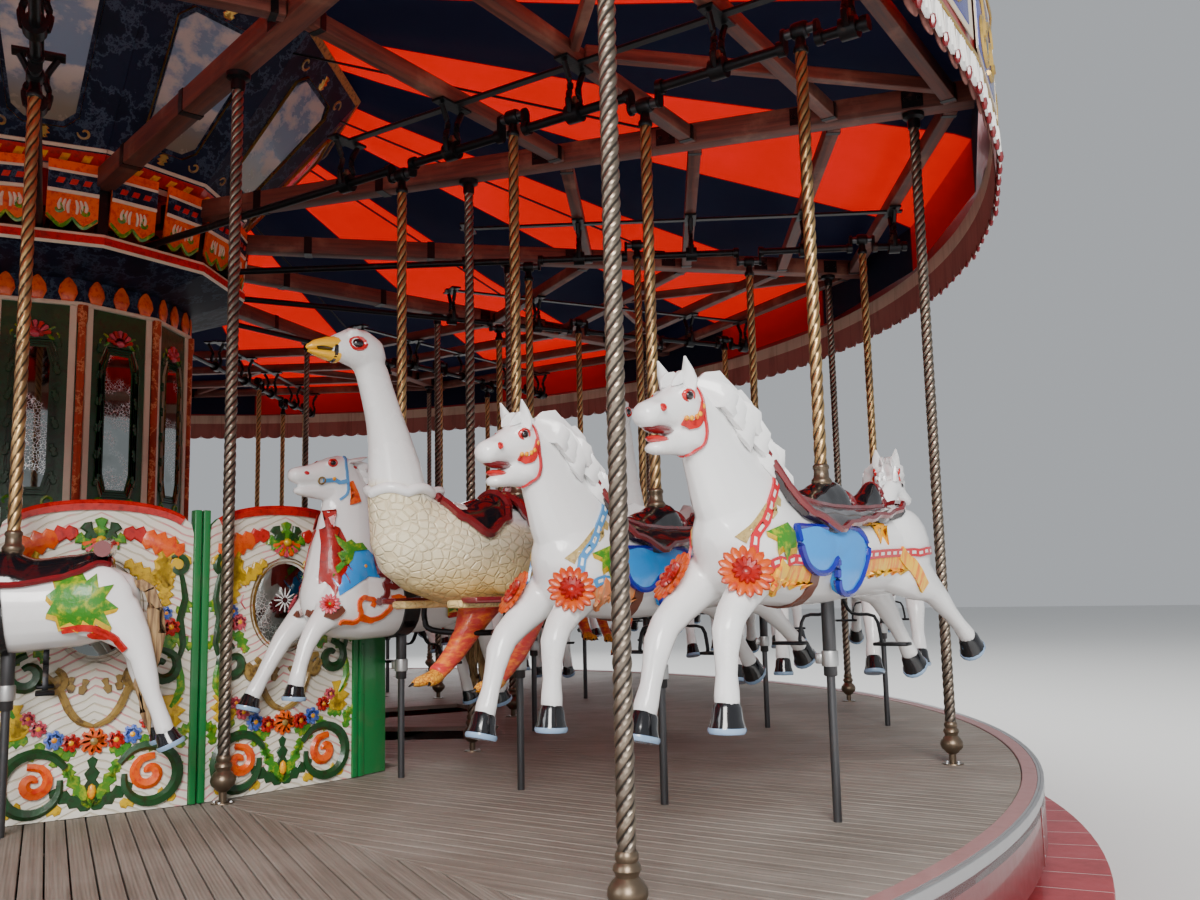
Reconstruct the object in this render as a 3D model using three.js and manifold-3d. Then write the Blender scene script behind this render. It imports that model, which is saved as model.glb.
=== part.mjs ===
// Fairground carousel with four rings of galloping animals. Millimetres, Z up, ground at z = 0.
// Azimuth 0 is +X and carries the first row of animals; the animals face clockwise seen from above.
import * as THREE from "three";
import { mergeVertices } from "three/addons/utils/BufferGeometryUtils.js";
import Module from "manifold-3d";

const wasm = await Module();
wasm.setup();

// Layout of the platform
const sections = 12;
const deckTop = 600;
const deckThickness = 30;
const deckInner = 2840;
const deckOuter = 5570;
const rimOuter = 5655;
const rimHeight = 66;
const skirtBottom = 352;
const skirtWall = 15;
const roundSides = 48;
const fit = 0.3;

// Fixed plant on the ground
const stepTop = 250;
const stepInner = 5200;
const stepOuter = 5880;
const stepSides = 36;
const plate = 25;
const groundBeam = 110;
const baseRadius = 1500;
const baseTop = 520;
const poleRadius = 105;
const poleTop = 5400;
const crownRadius = 620;
const crownThick = 60;

// Overhead frame
const swiftUnderside = 3635;
const swiftHeight = 110;
const swiftWidth = 100;
const swiftEnd = 5571.6;
const hubBore = 112;
const hubDrop = 30;
const hubRadius = 360;
const mastRadius = 155;
const mastTop = 5440;
const finialTop = 5820;
const quarterings = [3392, 4075, 4758, 5290];
const firstBearing = 2710;
const quarteringWidth = 66;
const quarteringHeight = 72;
const quarteringLift = 0.2;
const hangerRod = 24;
const innerHanger = 2950;
const outerHanger = 5290;
const underBeam = 70;

// Crank shafts above each row
const crankAxis = 3410;
const crankRadius = 120;
const shaft = 40;
const railThick = 13;
const pinionRadius = 150;
const throwHalf = 74;
const webThick = 15;

// Centre casing, screens and cover
const casingRadius = 900;
const casingBottom = 640;
const casingTop = 3215;
const corniceRadius = 1220;
const coneBottom = [1130, 3745.3];
const coneTop = [1950, 4735];
const screenRadius = 2900;
const screenThick = 28;
const screenHeight = 1130;
const screenCount = 17;
const screenPitch = 15;
const screenStart = -1.7;
const jambAngle = 3.6;
const boardRadius = 5655;
const boardBottom = 3192;
const boardTop = 3900;
const cloth = 8;
const canopyDrop = 5620;

// The animals: ring radius, how far the crank pin rests above its shaft, colour of the coat
const rings = [
  { name: "inner_horse", radius: 3080, rest: -40, coat: 0xf3f2ee },
  { name: "ostrich", radius: 3745, rest: 70, coat: 0xf0e3bd },
  { name: "horse", radius: 4420, rest: -60, coat: 0xf4f3ef },
  { name: "outer_horse", radius: 5100, rest: 50, coat: 0xf6f5f2 },
];
const noseIn = 7;
const openRow = sections - 1; // only the innermost animal stands in this row
const rodSides = 5;
const lowerRod = 16;
const upperRod = 24;
const rodSpare = 40;
const rodStep = 500;

const degree = Math.PI / 180;
const pitch = 360 / sections;
const root = new THREE.Group();
root.name = "carousel";

// One closed solid from any three.js geometry, turned right side out if it came inside out.
function solid(geometry) {
  const bare = geometry.clone();
  bare.deleteAttribute("normal");
  bare.deleteAttribute("uv");
  const merged = mergeVertices(bare, 1e-3);
  const corners = new Uint32Array(merged.index.array);
  const skin = () =>
    new wasm.Manifold(
      new wasm.Mesh({
        numProp: 3,
        vertProperties: merged.attributes.position.array,
        triVerts: corners,
      }),
    );
  return skin().volume() < 0 ? (corners.reverse(), skin()) : skin();
}

// A plain geometry from corner points and faces given as lists of corner numbers.
function faceted(points, faces) {
  const place = [];
  for (const face of faces)
    for (let i = 1; i + 1 < face.length; i++)
      for (const k of [face[0], face[i], face[i + 1]]) place.push(...points[k]);
  return new THREE.BufferGeometry().setAttribute(
    "position",
    new THREE.Float32BufferAttribute(place, 3),
  );
}

// A closed skin through rings of corners, each ring counter-clockwise seen from the last ring.
function loft(loops) {
  const n = loops[0].length;
  const faces = [];
  for (let k = 0; k + 1 < loops.length; k++)
    for (let i = 0; i < n; i++) {
      const j = (i + 1) % n;
      faces.push([k * n + i, k * n + j, (k + 1) * n + j, (k + 1) * n + i]);
    }
  const last = (loops.length - 1) * n;
  faces.push([...Array(n).keys()].reverse());
  faces.push([...Array(n).keys()].map((i) => last + i));
  return solid(faceted(loops.flat(), faces));
}

// A closed ring: a profile of [radius, z] corners, counter-clockwise, taken round the Z axis.
function revolve(profile, count, turn = 0) {
  const n = profile.length;
  const points = [];
  for (let k = 0; k < count; k++) {
    const a = (turn + (k * 360) / count) * degree;
    for (const [r, z] of profile) points.push([r * Math.cos(a), r * Math.sin(a), z]);
  }
  const faces = [];
  for (let k = 0; k < count; k++)
    for (let i = 0; i < n; i++) {
      const j = (i + 1) % n;
      const m = (k + 1) % count;
      faces.push([k * n + i, m * n + i, m * n + j, k * n + j]);
    }
  return solid(faceted(points, faces));
}

function rectangle(r0, r1, z0, z1) {
  return [
    [r0, z0],
    [r1, z0],
    [r1, z1],
    [r0, z1],
  ];
}

function box(x0, x1, y0, y1, z0, z1) {
  const g = new THREE.BoxGeometry(x1 - x0, y1 - y0, z1 - z0);
  g.translate((x0 + x1) / 2, (y0 + y1) / 2, (z0 + z1) / 2);
  return solid(g);
}

function regular(x, y, radius, sides, turn = 0) {
  return [...Array(sides).keys()].map((i) => {
    const a = (turn + (i * 360) / sides) * degree;
    return [x + radius * Math.cos(a), y + radius * Math.sin(a)];
  });
}

// Upright rod as a stack of [z, radius] levels.
function stack(x, y, levels, sides, turn = 0) {
  return loft(levels.map(([z, r]) => regular(x, y, r, sides, turn).map((p) => [...p, z])));
}

// A tapering limb along [x, y, z, half width, half height] stations, bending in the x-z plane.
function limb(stations, sides, turn = 90) {
  return loft(
    stations.map(([x, y, z, w, h], k) => {
      const a = stations[Math.max(k - 1, 0)];
      const b = stations[Math.min(k + 1, stations.length - 1)];
      const way = new THREE.Vector3(b[0] - a[0], b[1] - a[1], b[2] - a[2]).normalize();
      const side = new THREE.Vector3(0, 1, 0).addScaledVector(way, -way.y).normalize();
      const up = new THREE.Vector3().crossVectors(way, side);
      return [...Array(sides).keys()].map((i) => {
        const t = (turn + (i * 360) / sides) * degree;
        const u = w * Math.cos(t);
        const v = h * Math.sin(t);
        return [
          x + u * side.x + v * up.x,
          y + u * side.y + v * up.y,
          z + u * side.z + v * up.z,
        ];
      });
    }),
  );
}

// A flat outline of [x, y] corners pushed from z0 to z1, with holes.
function slab(outline, holes, z0, z1) {
  const shape = new THREE.Shape(outline.map((p) => new THREE.Vector2(...p)));
  for (const hole of holes) shape.holes.push(new THREE.Path(hole.map((p) => new THREE.Vector2(...p))));
  const g = new THREE.ExtrudeGeometry(shape, { depth: z1 - z0, bevelEnabled: false });
  g.translate(0, 0, z0);
  return solid(g);
}

// An outline of [radius, z] corners in the upright plane of azimuth 0, of a given thickness.
function uprightSlab(outline, thickness) {
  const shape = new THREE.Shape(outline.map((p) => new THREE.Vector2(...p)));
  const g = new THREE.ExtrudeGeometry(shape, { depth: thickness, bevelEnabled: false });
  g.translate(0, 0, -thickness / 2);
  g.rotateX(Math.PI / 2);
  return solid(g);
}

const union = (parts) => wasm.Manifold.union(parts);
const turned = (part, azimuth) => part.rotate([0, 0, azimuth]);
const round = (part, start = 0) =>
  [...Array(sections).keys()].map((k) => turned(part, start + k * pitch));

function add(name, made, color, roughness, metalness) {
  const m = made.getMesh();
  const place = new Float32Array(m.numVert * 3);
  for (let i = 0; i < m.numVert; i++)
    place.set(m.vertProperties.subarray(i * m.numProp, i * m.numProp + 3), i * 3);
  const geometry = new THREE.BufferGeometry()
    .setAttribute("position", new THREE.BufferAttribute(place, 3))
    .setIndex(new THREE.BufferAttribute(new Uint32Array(m.triVerts), 1));
  geometry.computeVertexNormals();
  const look = new THREE.MeshStandardMaterial({ color, roughness, metalness });
  const mesh = new THREE.Mesh(geometry, look);
  mesh.name = name;
  root.add(mesh);
}

// The step round the platform, tied to the centre by ground beams
const stepShell = revolve(
  [
    [stepInner, 0],
    [stepInner + plate, 0],
    [stepInner + plate, stepTop - plate],
    [stepOuter - plate, stepTop - plate],
    [stepOuter - plate, 0],
    [stepOuter, 0],
    [stepOuter, stepTop],
    [stepInner, stepTop],
  ],
  stepSides,
);
add("step_ring", stepShell, 0xa3161d, 0.5, 0.1);

const baseShell = revolve(
  [
    [poleRadius - 20, 0],
    [baseRadius - 30, 0],
    [baseRadius - 30, baseTop],
    [baseRadius - 30 - plate, baseTop],
    [baseRadius - 30 - plate, plate],
    [poleRadius + 100, plate],
    [poleRadius + 60, baseTop - 60],
    [poleRadius - 20, baseTop - 60],
  ],
  sections * 2,
);

const crownTop = crankAxis - pinionRadius - 10;
const collarTop = swiftUnderside - hubDrop - fit;
const pole = stack(
  0,
  0,
  [
    [0, poleRadius],
    [crownTop - crownThick, poleRadius],
    [crownTop - crownThick + 1, crownRadius],
    [crownTop, crownRadius],
    [crownTop + 1, poleRadius],
    [collarTop - 50, poleRadius],
    [collarTop - 49, poleRadius * 2],
    [collarTop, poleRadius * 2],
    [collarTop, poleRadius],
    [poleTop, poleRadius],
  ],
  16,
);
const stepFlat = stepInner * Math.cos((180 / stepSides) * degree);
const beam = box(baseRadius - 60, stepFlat - fit, -55, 55, 0, groundBeam);
add("centre_base", union([baseShell, pole, ...round(beam, pitch / 2)]), 0x24302a, 0.6, 0.4);

// Platform: boarded deck with a hole for every rod, rim band with skirt, hanging rods with bearers
const rodHoles = [];
for (let k = 0; k < sections; k++) {
  const a = k * pitch * degree;
  for (const { radius } of k === openRow ? rings.slice(0, 1) : rings)
    rodHoles.push(
      regular(radius * Math.cos(a), radius * Math.sin(a), lowerRod + 0.5, rodSides, k * pitch),
    );
}
const hangers = [outerHanger, innerHanger];
const hangerHoles = [];
for (let k = 0; k < sections; k++) {
  const a = (k + 0.5) * pitch;
  const c = Math.cos(a * degree);
  const s = Math.sin(a * degree);
  for (const r of hangers) hangerHoles.push(regular(r * c, r * s, hangerRod + 0.5, 4, a));
}
const deckCircle = regular(0, 0, deckOuter, roundSides);
const wellCircle = regular(0, 0, deckInner, roundSides);
add(
  "platform_deck",
  slab(deckCircle, [wellCircle, ...rodHoles, ...hangerHoles], deckTop - deckThickness, deckTop),
  0x6f6359,
  0.8,
  0,
);
add(
  "platform_rim",
  revolve(
    [
      [deckOuter + fit, deckTop - rimHeight],
      [rimOuter - skirtWall, deckTop - rimHeight],
      [rimOuter - skirtWall, skirtBottom],
      [rimOuter, skirtBottom],
      [rimOuter, deckTop + 6],
      [deckOuter + fit, deckTop + 6],
    ],
    roundSides,
  ),
  0x8d5f5b,
  0.45,
  0.2,
);
const deckUnder = deckTop - deckThickness - fit;
const bearer = box(deckInner + 30, deckOuter - 40, -35, 35, deckUnder - underBeam, deckUnder);
const underRings = [3420, 5430].map((r) =>
  revolve(rectangle(r - 30, r + 30, deckUnder - 50, deckUnder), sections, pitch / 2),
);
const hangerRods = hangers.flatMap((r) =>
  round(
    stack(
      r,
      0,
      [
        [deckUnder - 45, hangerRod],
        [swiftUnderside - fit, hangerRod],
      ],
      4,
    ),
    pitch / 2,
  ),
);
add(
  "platform_hangers",
  union([
    ...round(bearer, pitch / 2),
    ...underRings,
    ...hangerRods,
  ]),
  0x8a6a3c,
  0.4,
  0.9,
);

// Overhead frame: hub with mast and finial, twelve swifts, four rings of quarterings between them
const hub = revolve(
  [
    [hubBore, swiftUnderside - hubDrop],
    [hubRadius, swiftUnderside - hubDrop],
    [hubRadius, swiftUnderside + swiftHeight + 20],
    [mastRadius, swiftUnderside + swiftHeight + 40],
    [mastRadius, mastTop],
    [hubBore, mastTop],
  ],
  sections,
  pitch / 2,
);
const swiftTop = swiftUnderside + swiftHeight;
const swift = box(
  hubRadius - 40,
  swiftEnd,
  -swiftWidth / 2,
  swiftWidth / 2,
  swiftUnderside,
  swiftTop,
);
const quarteringRings = quarterings.map((r) =>
  revolve(
    rectangle(
      (r - quarteringWidth / 2) / Math.cos((pitch / 2) * degree),
      (r + quarteringWidth / 2) / Math.cos((pitch / 2) * degree),
      swiftUnderside + quarteringLift,
      swiftUnderside + quarteringHeight,
    ),
    sections,
    pitch / 2,
  ),
);
const finial = stack(
  0,
  0,
  [
    [mastTop - 10, mastRadius - 20],
    [mastTop + 4, mastRadius + 15],
    [mastTop + 30, 60],
    [mastTop + 60, 45],
    [mastTop + 100, 95],
    [mastTop + 160, 120],
    [mastTop + 220, 95],
    [mastTop + 260, 35],
    [finialTop, 10],
  ],
  sections,
  pitch / 2,
);
const corniceTop = crankAxis - shaft / 2 - 15;
const dropper = box(
  corniceRadius - 75,
  corniceRadius - 25,
  -30,
  30,
  corniceTop + fit,
  swiftUnderside + 5,
);
add(
  "swift_frame",
  union([
    hub,
    finial,
    ...round(swift, pitch / 2),
    ...quarteringRings,
    ...round(dropper, pitch / 2),
  ]),
  0x7a3b2a,
  0.75,
  0,
);

// Crank shafts: a rail under the quarterings carries bearings and the straight lengths of shaft
const railTop = swiftUnderside - fit;
const railBottom = railTop - railThick;
const shaftBottom = crankAxis - shaft / 2;
const shaftTop = crankAxis + shaft / 2;
const pinionAt = [560, 610];
const innerLeg = 700;
const legWidth = 50;
const bearings = [firstBearing, ...quarterings];
function crankOutline() {
  const half = legWidth / 2;
  const starts = [pinionAt[0], ...rings.map(({ radius }) => radius + throwHalf + 1)];
  const ends = [...rings.map(({ radius }) => radius - throwHalf - 1), bearings[4] + 60];
  const outline = [];
  bearings.forEach((q, i) => {
    outline.push([starts[i], shaftBottom], [ends[i], shaftBottom], [ends[i], shaftTop]);
    outline.push([q + half, shaftTop]);
    if (i + 1 === bearings.length) return;
    const next = bearings[i + 1];
    outline.push([q + half, railBottom], [next - half, railBottom]);
    outline.push([next - half, shaftTop], [starts[i + 1], shaftTop]);
  });
  outline.push([bearings[4] + half, railTop], [firstBearing - half, railTop]);
  outline.push([firstBearing - half, shaftTop], [innerLeg + legWidth, shaftTop]);
  outline.push([innerLeg + legWidth, railTop], [innerLeg, railTop]);
  outline.push([innerLeg, shaftTop], [pinionAt[0], shaftTop]);
  return outline;
}
const crankLine = uprightSlab(crankOutline(), shaft);
const pinion = loft(
  pinionAt.map((x, k) =>
    regular(0, crankAxis, pinionRadius - 20 * (1 - k), 8).map(([y, z]) => [x, y, z]),
  ),
);
const railHub = revolve(rectangle(innerLeg - 10, innerLeg + 90, railBottom, railTop), sections);
// Straight bars close the three gaps that hold no throw in the open row.
const half = shaft / 2 - 2;
const bars = rings.slice(1).map(({ radius }) => {
  const reach = throwHalf + 20;
  return box(radius - reach, radius + reach, -half, half, crankAxis - half, crankAxis + half);
});
add(
  "crank_gear",
  union([...round(union([crankLine, pinion])), railHub, turned(union(bars), openRow * pitch)]),
  0x1d1e20,
  0.5,
  0.8,
);

// Casing round the centre with its spreading cornice, and the picture cone above the swifts
const thin = 22;
const casing = revolve(
  [
    [casingRadius - thin, casingBottom],
    [casingRadius, casingBottom],
    [casingRadius, casingTop],
    [corniceRadius, casingTop + 90],
    [corniceRadius, corniceTop],
    [corniceRadius - 90, corniceTop],
    [corniceRadius - 90, corniceTop - thin],
    [corniceRadius - thin, corniceTop - thin],
    [corniceRadius - thin, casingTop + 102],
    [casingRadius - thin, casingTop + 12],
  ],
  sections,
  pitch / 2,
);
add("centre_casing", casing, 0x7e2b22, 0.5, 0.1);
add(
  "picture_cone",
  revolve(
    [
      [coneBottom[0], coneBottom[1]],
      [coneTop[0], coneTop[1]],
      [coneTop[0] - 24, coneTop[1]],
      [coneBottom[0] - 24, coneBottom[1]],
    ],
    sections,
    pitch / 2,
  ),
  0x17233f,
  0.5,
  0.1,
);

// Screens round the well: flat panels with bowed tops between corner posts, open on one side
const screenParts = [];
const flatHalf = screenRadius * Math.sin((screenPitch / 2) * degree);
const flatFace = screenRadius * Math.cos((screenPitch / 2) * degree);
function panelOutline(half) {
  const z0 = deckTop + fit;
  const top = z0 + screenHeight;
  return [
    [-half, z0],
    [half, z0],
    [half, top - 40],
    [half * 0.45, top + 55],
    [-half * 0.45, top + 55],
    [-half, top - 40],
  ];
}
const panel = loft(
  [flatFace - screenThick, flatFace].map((x) => panelOutline(flatHalf).map(([y, z]) => [x, y, z])),
);
const postTop = deckTop + screenHeight + 30;
const post = box(screenRadius - 44, screenRadius + 6, -32, 32, deckTop + fit, postTop);
for (let k = 0; k < screenCount; k++)
  screenParts.push(turned(panel, screenStart - (k + 0.5) * screenPitch));
for (let k = 0; k <= screenCount; k++)
  screenParts.push(turned(post, screenStart - k * screenPitch));
const jambHalf = screenRadius * Math.sin((jambAngle / 2) * degree);
const jamb = box(
  screenRadius - 30,
  screenRadius - 4,
  -jambHalf,
  jambHalf,
  deckTop + fit,
  deckTop + screenHeight - 60,
);
screenParts.push(turned(jamb, screenStart + jambAngle / 2));
add("well_screens", union(screenParts), 0x2f7a3c, 0.45, 0.05);

// Cover: one cloth cone that turns down inside the rounding boards
const gores = 24;
const goreTurn = pitch / 4;
const canopyLine = [
  [(mastRadius + fit) / Math.cos(goreTurn * degree), 5395],
  [2100, 4738],
  [3900, 4205],
  [5530, 3800],
  [canopyDrop, 3760],
  [canopyDrop, 3462],
];
const canopyOuter = canopyLine.map(([r, z], i) => (i < 3 ? [r, z + cloth] : [r + cloth, z + cloth]));
canopyOuter[canopyOuter.length - 1][1] = canopyLine[canopyLine.length - 1][1];
add(
  "canopy",
  revolve([...canopyLine, ...canopyOuter.reverse()], gores, goreTurn),
  0xc4161c,
  0.85,
  0,
);
add(
  "rounding_boards",
  revolve(
    rectangle(canopyDrop + cloth + fit, boardRadius, boardBottom, boardTop),
    gores,
    goreTurn,
  ),
  0x8c5a55,
  0.6,
  0.05,
);

// The animals, standing on azimuth 0: x forward, y outward, z above the deck
const horseShape = {
  body: [
    [-850, 0, 925, 60, 90],
    [-640, 0, 930, 160, 160],
    [380, 0, 915, 155, 170],
    [650, 0, 975, 125, 165],
    [760, 0, 1130, 80, 125],
    [815, 0, 1320, 58, 75],
    [1030, 0, 1195, 38, 48],
  ],
  legs: [
    [
      [560, -80, 880, 60, 60],
      [800, -110, 690, 40, 45],
      [880, -115, 440, 36, 40],
    ],
    [
      [560, 80, 880, 60, 60],
      [830, 110, 700, 40, 45],
      [900, 115, 465, 36, 40],
    ],
    [
      [-600, -80, 890, 70, 80],
      [-800, -100, 720, 42, 48],
      [-1040, -105, 575, 34, 40],
    ],
    [
      [-600, 80, 890, 70, 80],
      [-760, 100, 700, 42, 48],
      [-1000, 105, 545, 34, 40],
    ],
  ],
};
const ostrichShape = {
  body: [
    [-560, 0, 1120, 60, 55],
    [-350, 0, 1020, 175, 170],
    [250, 0, 985, 185, 205],
    [520, 0, 1075, 110, 150],
    [610, 0, 1300, 52, 70],
    [640, 0, 1660, 42, 48],
    [740, 0, 1710, 46, 56],
    [910, 0, 1640, 22, 14],
  ],
  legs: [
    [
      [60, -80, 850, 60, 70],
      [180, -95, 660, 36, 40],
      [400, -100, 480, 42, 30],
    ],
    [
      [-40, 80, 850, 60, 70],
      [60, 95, 640, 36, 40],
      [260, 100, 450, 42, 30],
    ],
  ],
};

// A copy of a shape stretched along x and moved up or down.
function fitted(shape, length, lift, wide = 1) {
  const place = ([x, y, z, w, h]) => [x * length, y * wide, z + lift, w * wide, h];
  return { body: shape.body.map(place), legs: shape.legs.map((leg) => leg.map(place)) };
}

const shapes = [
  fitted(horseShape, 0.66, -25, 0.82),
  ostrichShape,
  fitted(horseShape, 0.9, -40),
  horseShape,
];

rings.forEach(({ name, radius, rest, coat }, ring) => {
  const { body, legs } = shapes[ring];
  const pinZ = crankAxis + rest - deckTop;
  const axisZ = crankAxis - deckTop;
  const figure = union([limb(body, 5), ...legs.map((leg) => limb(leg, 3))]);
  const rod = stack(
    0,
    0,
    [
      [-deckThickness - (crankRadius - rest) - rodSpare, lowerRod],
      [rodStep, lowerRod],
      [rodStep + 8, upperRod],
      [pinZ, upperRod],
    ],
    rodSides,
    90,
  );
  const up = rest > 0 ? 1 : -1;
  const far = axisZ - up * 24;
  const near = pinZ + up * 26;
  const innerEdge = pinZ - up * 26;
  const outline = [
    [-throwHalf, far],
    [-throwHalf, near],
    [throwHalf, near],
    [throwHalf, far],
    [throwHalf - webThick, far],
    [throwHalf - webThick, innerEdge],
    [webThick - throwHalf, innerEdge],
    [webThick - throwHalf, far],
  ];
  const crankThrow = uprightSlab(outline, 46).rotate([0, 0, 90]);
  const whole = union([turned(figure, -noseIn), rod, crankThrow]);
  for (let k = 0; k < sections; k++) {
    if (k === openRow && ring > 0) continue;
    add(
      name + "_" + String(k + 1).padStart(2, "0"),
      whole.translate([0, radius, deckTop]).rotate([0, 0, k * pitch - 90]),
      coat,
      0.25,
      0,
    );
  }
});

export default root;
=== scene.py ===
import math
import random

import bmesh
import bpy
from mathutils import Matrix, Vector
from mathutils.bvhtree import BVHTree


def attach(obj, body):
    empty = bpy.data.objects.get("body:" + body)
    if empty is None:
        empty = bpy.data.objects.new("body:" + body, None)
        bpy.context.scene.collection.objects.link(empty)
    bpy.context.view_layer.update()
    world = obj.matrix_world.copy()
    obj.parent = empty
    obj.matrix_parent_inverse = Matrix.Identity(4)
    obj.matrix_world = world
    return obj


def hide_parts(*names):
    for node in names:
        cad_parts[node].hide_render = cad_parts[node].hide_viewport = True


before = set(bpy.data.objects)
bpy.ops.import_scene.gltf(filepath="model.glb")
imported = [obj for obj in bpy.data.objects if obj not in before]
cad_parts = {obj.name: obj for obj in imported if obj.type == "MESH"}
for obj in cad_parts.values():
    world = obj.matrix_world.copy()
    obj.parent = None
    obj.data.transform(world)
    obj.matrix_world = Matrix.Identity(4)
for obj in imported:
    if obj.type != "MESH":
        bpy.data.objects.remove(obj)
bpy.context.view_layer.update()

dice = random.Random(7)
sections = 12
pitch = math.tau / sections
deckTop = 0.6
rowAngles = [k * pitch for k in range(sections)]
swiftAngles = [(k + 0.5) * pitch for k in range(sections)]


class Wire:
    # a socket, so that shader maths reads as ordinary Python
    def __init__(self, paint, socket):
        self.paint, self.socket = paint, socket

    def maths(self, how, *others):
        return self.paint.node("Math", {"operation": how}, self, *others)

    def __add__(self, other):
        return self.maths("ADD", other)

    def __sub__(self, other):
        return self.maths("SUBTRACT", other)

    def __mul__(self, other):
        return self.maths("MULTIPLY", other)

    def __truediv__(self, other):
        return self.maths("DIVIDE", other)

    def __mod__(self, other):
        return self.maths("FLOORED_MODULO", other)

    def __gt__(self, other):
        return self.maths("GREATER_THAN", other)

    def __lt__(self, other):
        return self.maths("LESS_THAN", other)

    def __rsub__(self, other):
        return self.paint.node("Math", {"operation": "SUBTRACT"}, other, self)

    def __abs__(self):
        return self.maths("ABSOLUTE")

    __radd__ = __add__
    __rmul__ = __mul__


class Paint:
    # a material under construction: every node comes from the one method below
    def __init__(self, name, colour, rough, metal=0.0, coat=0.0, **more):
        self.material = bpy.data.materials.new(name)
        self.material.use_nodes = True
        self.tree = self.material.node_tree
        self.shader = self.tree.nodes["Principled BSDF"]
        fixed = {"Base Color": (*colour, 1), "Roughness": rough, "Metallic": metal, "Coat Weight": coat}
        for name, value in {**fixed, **more}.items():
            self.shader.inputs[name].default_value = value

    def node(self, kind, settings, *values, out=0, **named):
        made = self.tree.nodes.new("ShaderNode" + kind)
        stops = settings.get("stops")
        for key, value in settings.items():
            if key != "stops":
                setattr(made, key, value)
        if stops:
            ramp = made.color_ramp
            while len(ramp.elements) < len(stops):
                ramp.elements.new(0.5)
            for element, (at, colour) in zip(ramp.elements, stops):
                element.position, element.color = at, (*colour, 1)
        enabled = [s for s in made.inputs if s.enabled]
        given = list(zip(enabled, values)) + [(made.inputs[k], v) for k, v in named.items()]
        for socket, value in given:
            if isinstance(value, Wire):
                self.tree.links.new(value.socket, socket)
            elif socket.type == "RGBA" and len(value) == 3:
                socket.default_value = (*value, 1)
            else:
                socket.default_value = value
        return Wire(self, [s for s in made.outputs if s.enabled][out])

    def feed(self, **wires):
        for name, wire in wires.items():
            self.tree.links.new(wire.socket, self.shader.inputs[name.replace("_", " ")])
        return self.material

    def place(self):
        return self.node("TexCoord", {}, out=3)

    def local(self, name="local"):
        return self.node("Attribute", {"attribute_name": name}, out=1)

    def number(self, name):
        return self.node("Attribute", {"attribute_name": name}, out=2)

    def sine(self, value):
        return self.node("Math", {"operation": "SINE"}, value)

    def bearing(self, start=360.0):
        # degrees round the Z axis, above zero so that they can be divided into bays
        x, y, _ = self.parts(self.place())
        return self.node("Math", {"operation": "ARCTAN2"}, y, x) * (180 / math.pi) + start

    def parts(self, vector):
        split = self.node("SeparateXYZ", {}, vector)
        return [Wire(self, s) for s in split.socket.node.outputs]

    def stretch(self, vector, scale):
        return self.node("Mapping", {}, vector, Scale=scale)

    def noise(self, vector, scale, detail=3.0, rough=0.5):
        return self.node("TexNoise", {}, Vector=vector, Scale=scale, Detail=detail, Roughness=rough)

    def cells(self, vector, scale, feature="F1", out=0):
        return self.node("TexVoronoi", {"feature": feature}, Vector=vector, Scale=scale, out=out)

    def ramp(self, value, *stops):
        return self.node("ValToRGB", {"stops": stops}, value)

    def step(self, value, low, high):
        return self.node("MapRange", {"interpolation_type": "SMOOTHSTEP"}, value, low, high, 0.0, 1.0)

    def blend(self, factor, a, b):
        return self.node("Mix", {"data_type": "RGBA"}, factor, a, b)

    def bump(self, height, depth, strength=1.0):
        return self.node("Bump", {}, Height=height, Distance=depth, Strength=strength)


def turnZ(angle):
    return Matrix.Rotation(angle, 4, "Z")


def quarter(axis, way=1):
    # a quarter turn about an axis
    return Matrix.Rotation(way * math.pi / 2, 4, axis)


def standing(radius, across=0.0, high=0.0):
    # carries flat work from (across, up) to an upright face that looks along +X
    return Matrix(((0, 0, 1, radius), (1, 0, 0, across), (0, 1, 0, high), (0, 0, 0, 1)))


def newVerts(geom):
    return [g for g in geom if isinstance(g, bmesh.types.BMVert)]


def shift(x, y, z):
    return Matrix.Translation((x, y, z))


def frameAt(centre, way, side, rx, ry):
    # a matrix that lays the unit circle across `way`, rx along `side`
    way = Vector(way).normalized()
    side = Vector(side)
    side = (side - way * side.dot(way)).normalized()
    up = way.cross(side)
    m = Matrix.Identity(4)
    for i in range(3):
        m[i][0], m[i][1], m[i][2] = side[i] * rx, up[i] * ry, way[i] * 0.001
        m[i][3] = centre[i]
    return m


def pour(part, whole):
    # adds one bmesh to another and frees it
    held = bpy.data.meshes.new("held")
    part.to_mesh(held)
    part.free()
    whole.from_mesh(held)
    bpy.data.meshes.remove(held)


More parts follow.
